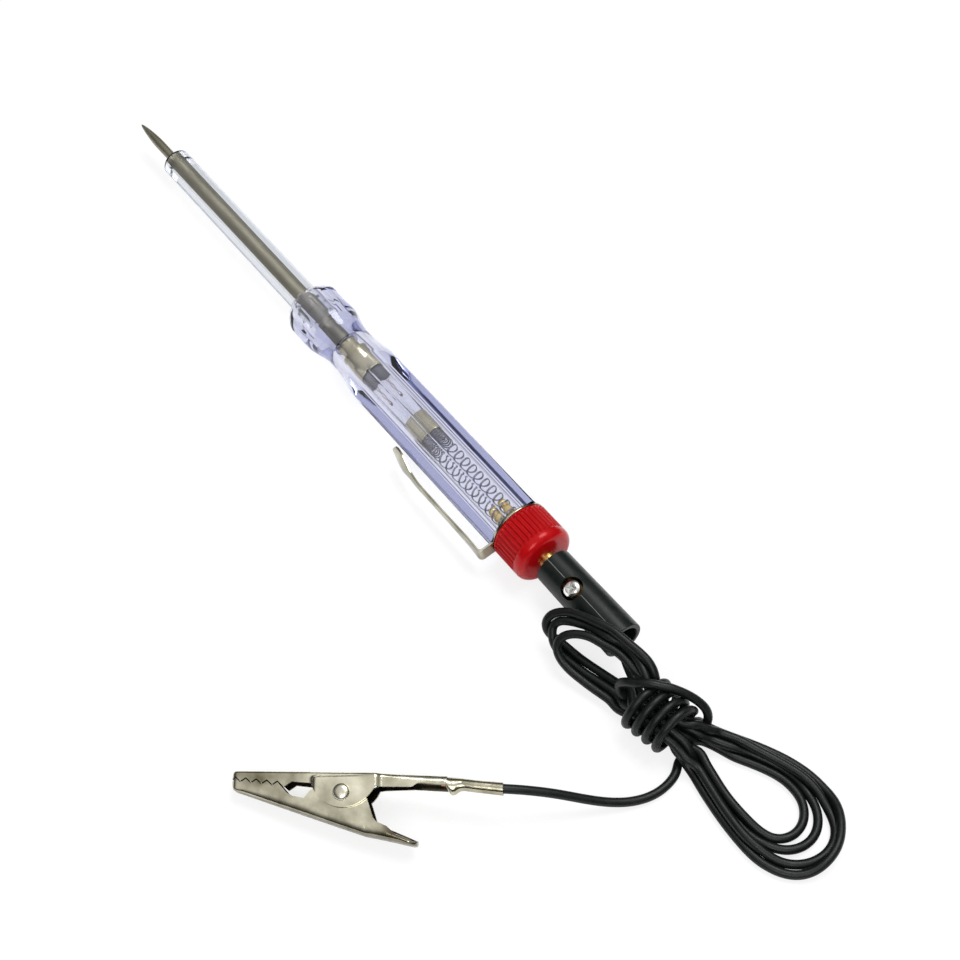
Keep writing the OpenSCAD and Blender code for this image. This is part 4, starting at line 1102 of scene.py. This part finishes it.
def make_jaw_spring():
    """The clip's spring round the rivet: a helix whose first leg lies on the upper jaw's
    back. The other leg is a piece of its own, so that it turns with the lower jaw."""
    wire_r, coil_r, turns, wide = 0.25, 1.45, 3, 1.76
    turn = np.linspace(math.radians(42), math.radians(301) + TAU * (turns - 1), 110)
    coil = np.stack([coil_r * np.cos(turn), coil_r * np.sin(turn),
                     np.linspace(-wide / 2, wide / 2, len(turn))], -1)
    back_end = np.array([7, back_line(7) - SHEET - wire_r - 0.08, wide / 2])
    sole_end = np.array([5.4, -5.55, -wide / 2])
    t = np.linspace(0, 1, 12)[:, None]
    back_leg = coil[-1] + (back_end - coil[-1]) * t[1:]
    sole_leg = sole_end + (coil[0] - sole_end) * t
    made = []
    for name, path, nodes, body in (
            ("jaw_spring", np.concatenate([coil, back_leg]), ["clip_spring"], "tester"),
            ("jaw_spring_leg", sole_leg, [], "lower_jaw")):
        points, faces = along_path(path, wire_r, 10)
        made.append(dress(add_mesh(name, on_clip(points), faces), "spring_steel", *nodes,
                          body=body))
    return made


# Floor and light


def make_stage():
    """A white floor that camera and transmission rays see as mostly self-lit."""
    size, lit, sunk = 3.0, 0.78, 0.00002
    mesh = bpy.data.meshes.new("floor")
    corners = [(-1, -1), (1, -1), (1, 1), (-1, 1)]
    mesh.from_pydata([(x * size, y * size, 0) for x, y in corners], [], [(0, 1, 2, 3)])
    floor = new_object("floor", mesh)
    floor.location.z = -sunk
    material, tree, shader = nodes_of("floor_white")
    wire_up(tree, shader, {"Base Color": (0.93, 0.93, 0.93, 1), "Roughness": 0.9,
                           "Specular IOR Level": 0.0})
    rays = add_node(tree, "LightPath").outputs
    straight = add_node(tree, "Math", {0: rays["Is Camera Ray"], 1: rays["Is Transmission Ray"]})
    straight.operation = "MAXIMUM"
    seen = add_node(tree, "Math", {0: straight.outputs["Value"], 1: lit})
    seen.operation = "MULTIPLY"
    mix = add_node(tree, "MixShader", {
        "Fac": seen.outputs["Value"], 1: shader.outputs["BSDF"],
        2: add_node(tree, "Emission").outputs["Emission"]})
    wire_up(tree, tree.nodes["Material Output"], {"Surface": mix.outputs["Shader"]})
    mesh.materials.append(material)


def add_lamp(name, at, size, watts):
    """A soft lamp, aimed at the middle of the tool."""
    middle = (0.03, -0.01, 0.0)
    data = bpy.data.lights.new(name, "AREA")
    data.shape = "RECTANGLE"
    data.size, data.size_y = size
    data.energy = watts
    lamp = new_object(name, data)
    lamp.location = at
    x, y, z = np.array(middle) - np.array(at)
    lamp.rotation_euler = (math.atan2(math.hypot(x, y), -z), 0, math.atan2(y, x) - math.pi / 2)


def backdrop(tree, height, stops):
    """A pale surround whose colour follows a ray's height, by (height, colour) stops."""
    shade = add_node(tree, "ValToRGB", {"Fac": height})
    steps = shade.color_ramp.elements
    for step, (at, colour) in zip(steps, (stops[0], stops[-1])):
        step.position, step.color = at, (*colour, 1)
    for at, colour in stops[1:-1]:
        steps.new(at).color = (*colour, 1)
    return add_node(tree, "Background", {"Color": shade.outputs["Color"]})


def make_light():
    """A pale room that lights from all round, and two soft lamps overhead. Gloss and
    glass see the room darker towards the horizon."""
    world = bpy.data.worlds.new("pale_room")
    bpy.context.scene.world = world
    world.use_nodes = True
    tree = world.node_tree
    tree.nodes.clear()
    place = add_node(tree, "TexCoord").outputs["Generated"]
    height = add_node(tree, "SeparateXYZ", {"Vector": place}).outputs["Z"]
    white = (1, 1, 1)
    fill, seen = (add_node(tree, "Background", {"Color": (*white, 1), "Strength": strength})
                  for strength in (0.5, 1.0))
    shiny = backdrop(tree, height, [
        (0, (0.03, 0.03, 0.035)), (0.35, (0.06, 0.06, 0.0588)), (0.6, (0.3, 0.3, 0.294)),
        (0.82, (0.85, 0.85, 0.833)), (1, white)])
    through = backdrop(tree, height, [
        (0, (0.3, 0.29, 0.42)), (0.4, (0.75, 0.75, 0.76)), (0.75, white)])
    rays = add_node(tree, "LightPath").outputs
    last = fill.outputs["Background"]
    for ray, room in (("Is Glossy Ray", shiny), ("Is Transmission Ray", through),
                      ("Is Camera Ray", seen)):
        last = add_node(tree, "MixShader", {
            "Fac": rays[ray], 1: last, 2: room.outputs["Background"]}).outputs["Shader"]
    add_node(tree, "OutputWorld", {"Surface": last})
    add_lamp("lamp_over", (0.0, 0.25, 0.75), (0.5, 0.35), 4.2)
    add_lamp("lamp_side", (0.45, -0.35, 0.55), (0.35, 0.35), 2.2)


# The scene

bpy.context.scene.view_settings.view_transform = "Standard"
place_camera()
cord, line, cord_length = make_cord()
make_probe()
make_sleeve()
make_handle()
make_lamp()
make_filament()
make_spring()
make_stud()
make_cap()
make_strap()

barrel = solid_copy("plug_barrel", "plug_sleeve")
soften_ends(barrel, 0.18)
dress(barrel, "black_plastic", "plug_sleeve")
make_pale_bead()
dress(solid_copy("barrel_screw", "plug_screw", 0.06), "screw_steel", "plug_screw")
# The core takes the darkened brass, painted shade in the screw hole.
dress(solid_copy("barrel_core", "plug_core", 0.1), "brass", "plug_core", other_material="core_brass")
upper = make_upper_jaw()
lower = make_lower_jaw()
rivet = dress(solid_copy("jaw_rivet", "clip_rivet", 0.05), "rivet_steel", "clip_rivet")
spring, spring_leg = make_jaw_spring()
for node in ("cord_wire_end", "clip_wire_end"):
    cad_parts[node].data.materials.clear()
    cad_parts[node].data.materials.append(MATERIALS["copper_wire"])

make_stage()
make_light()
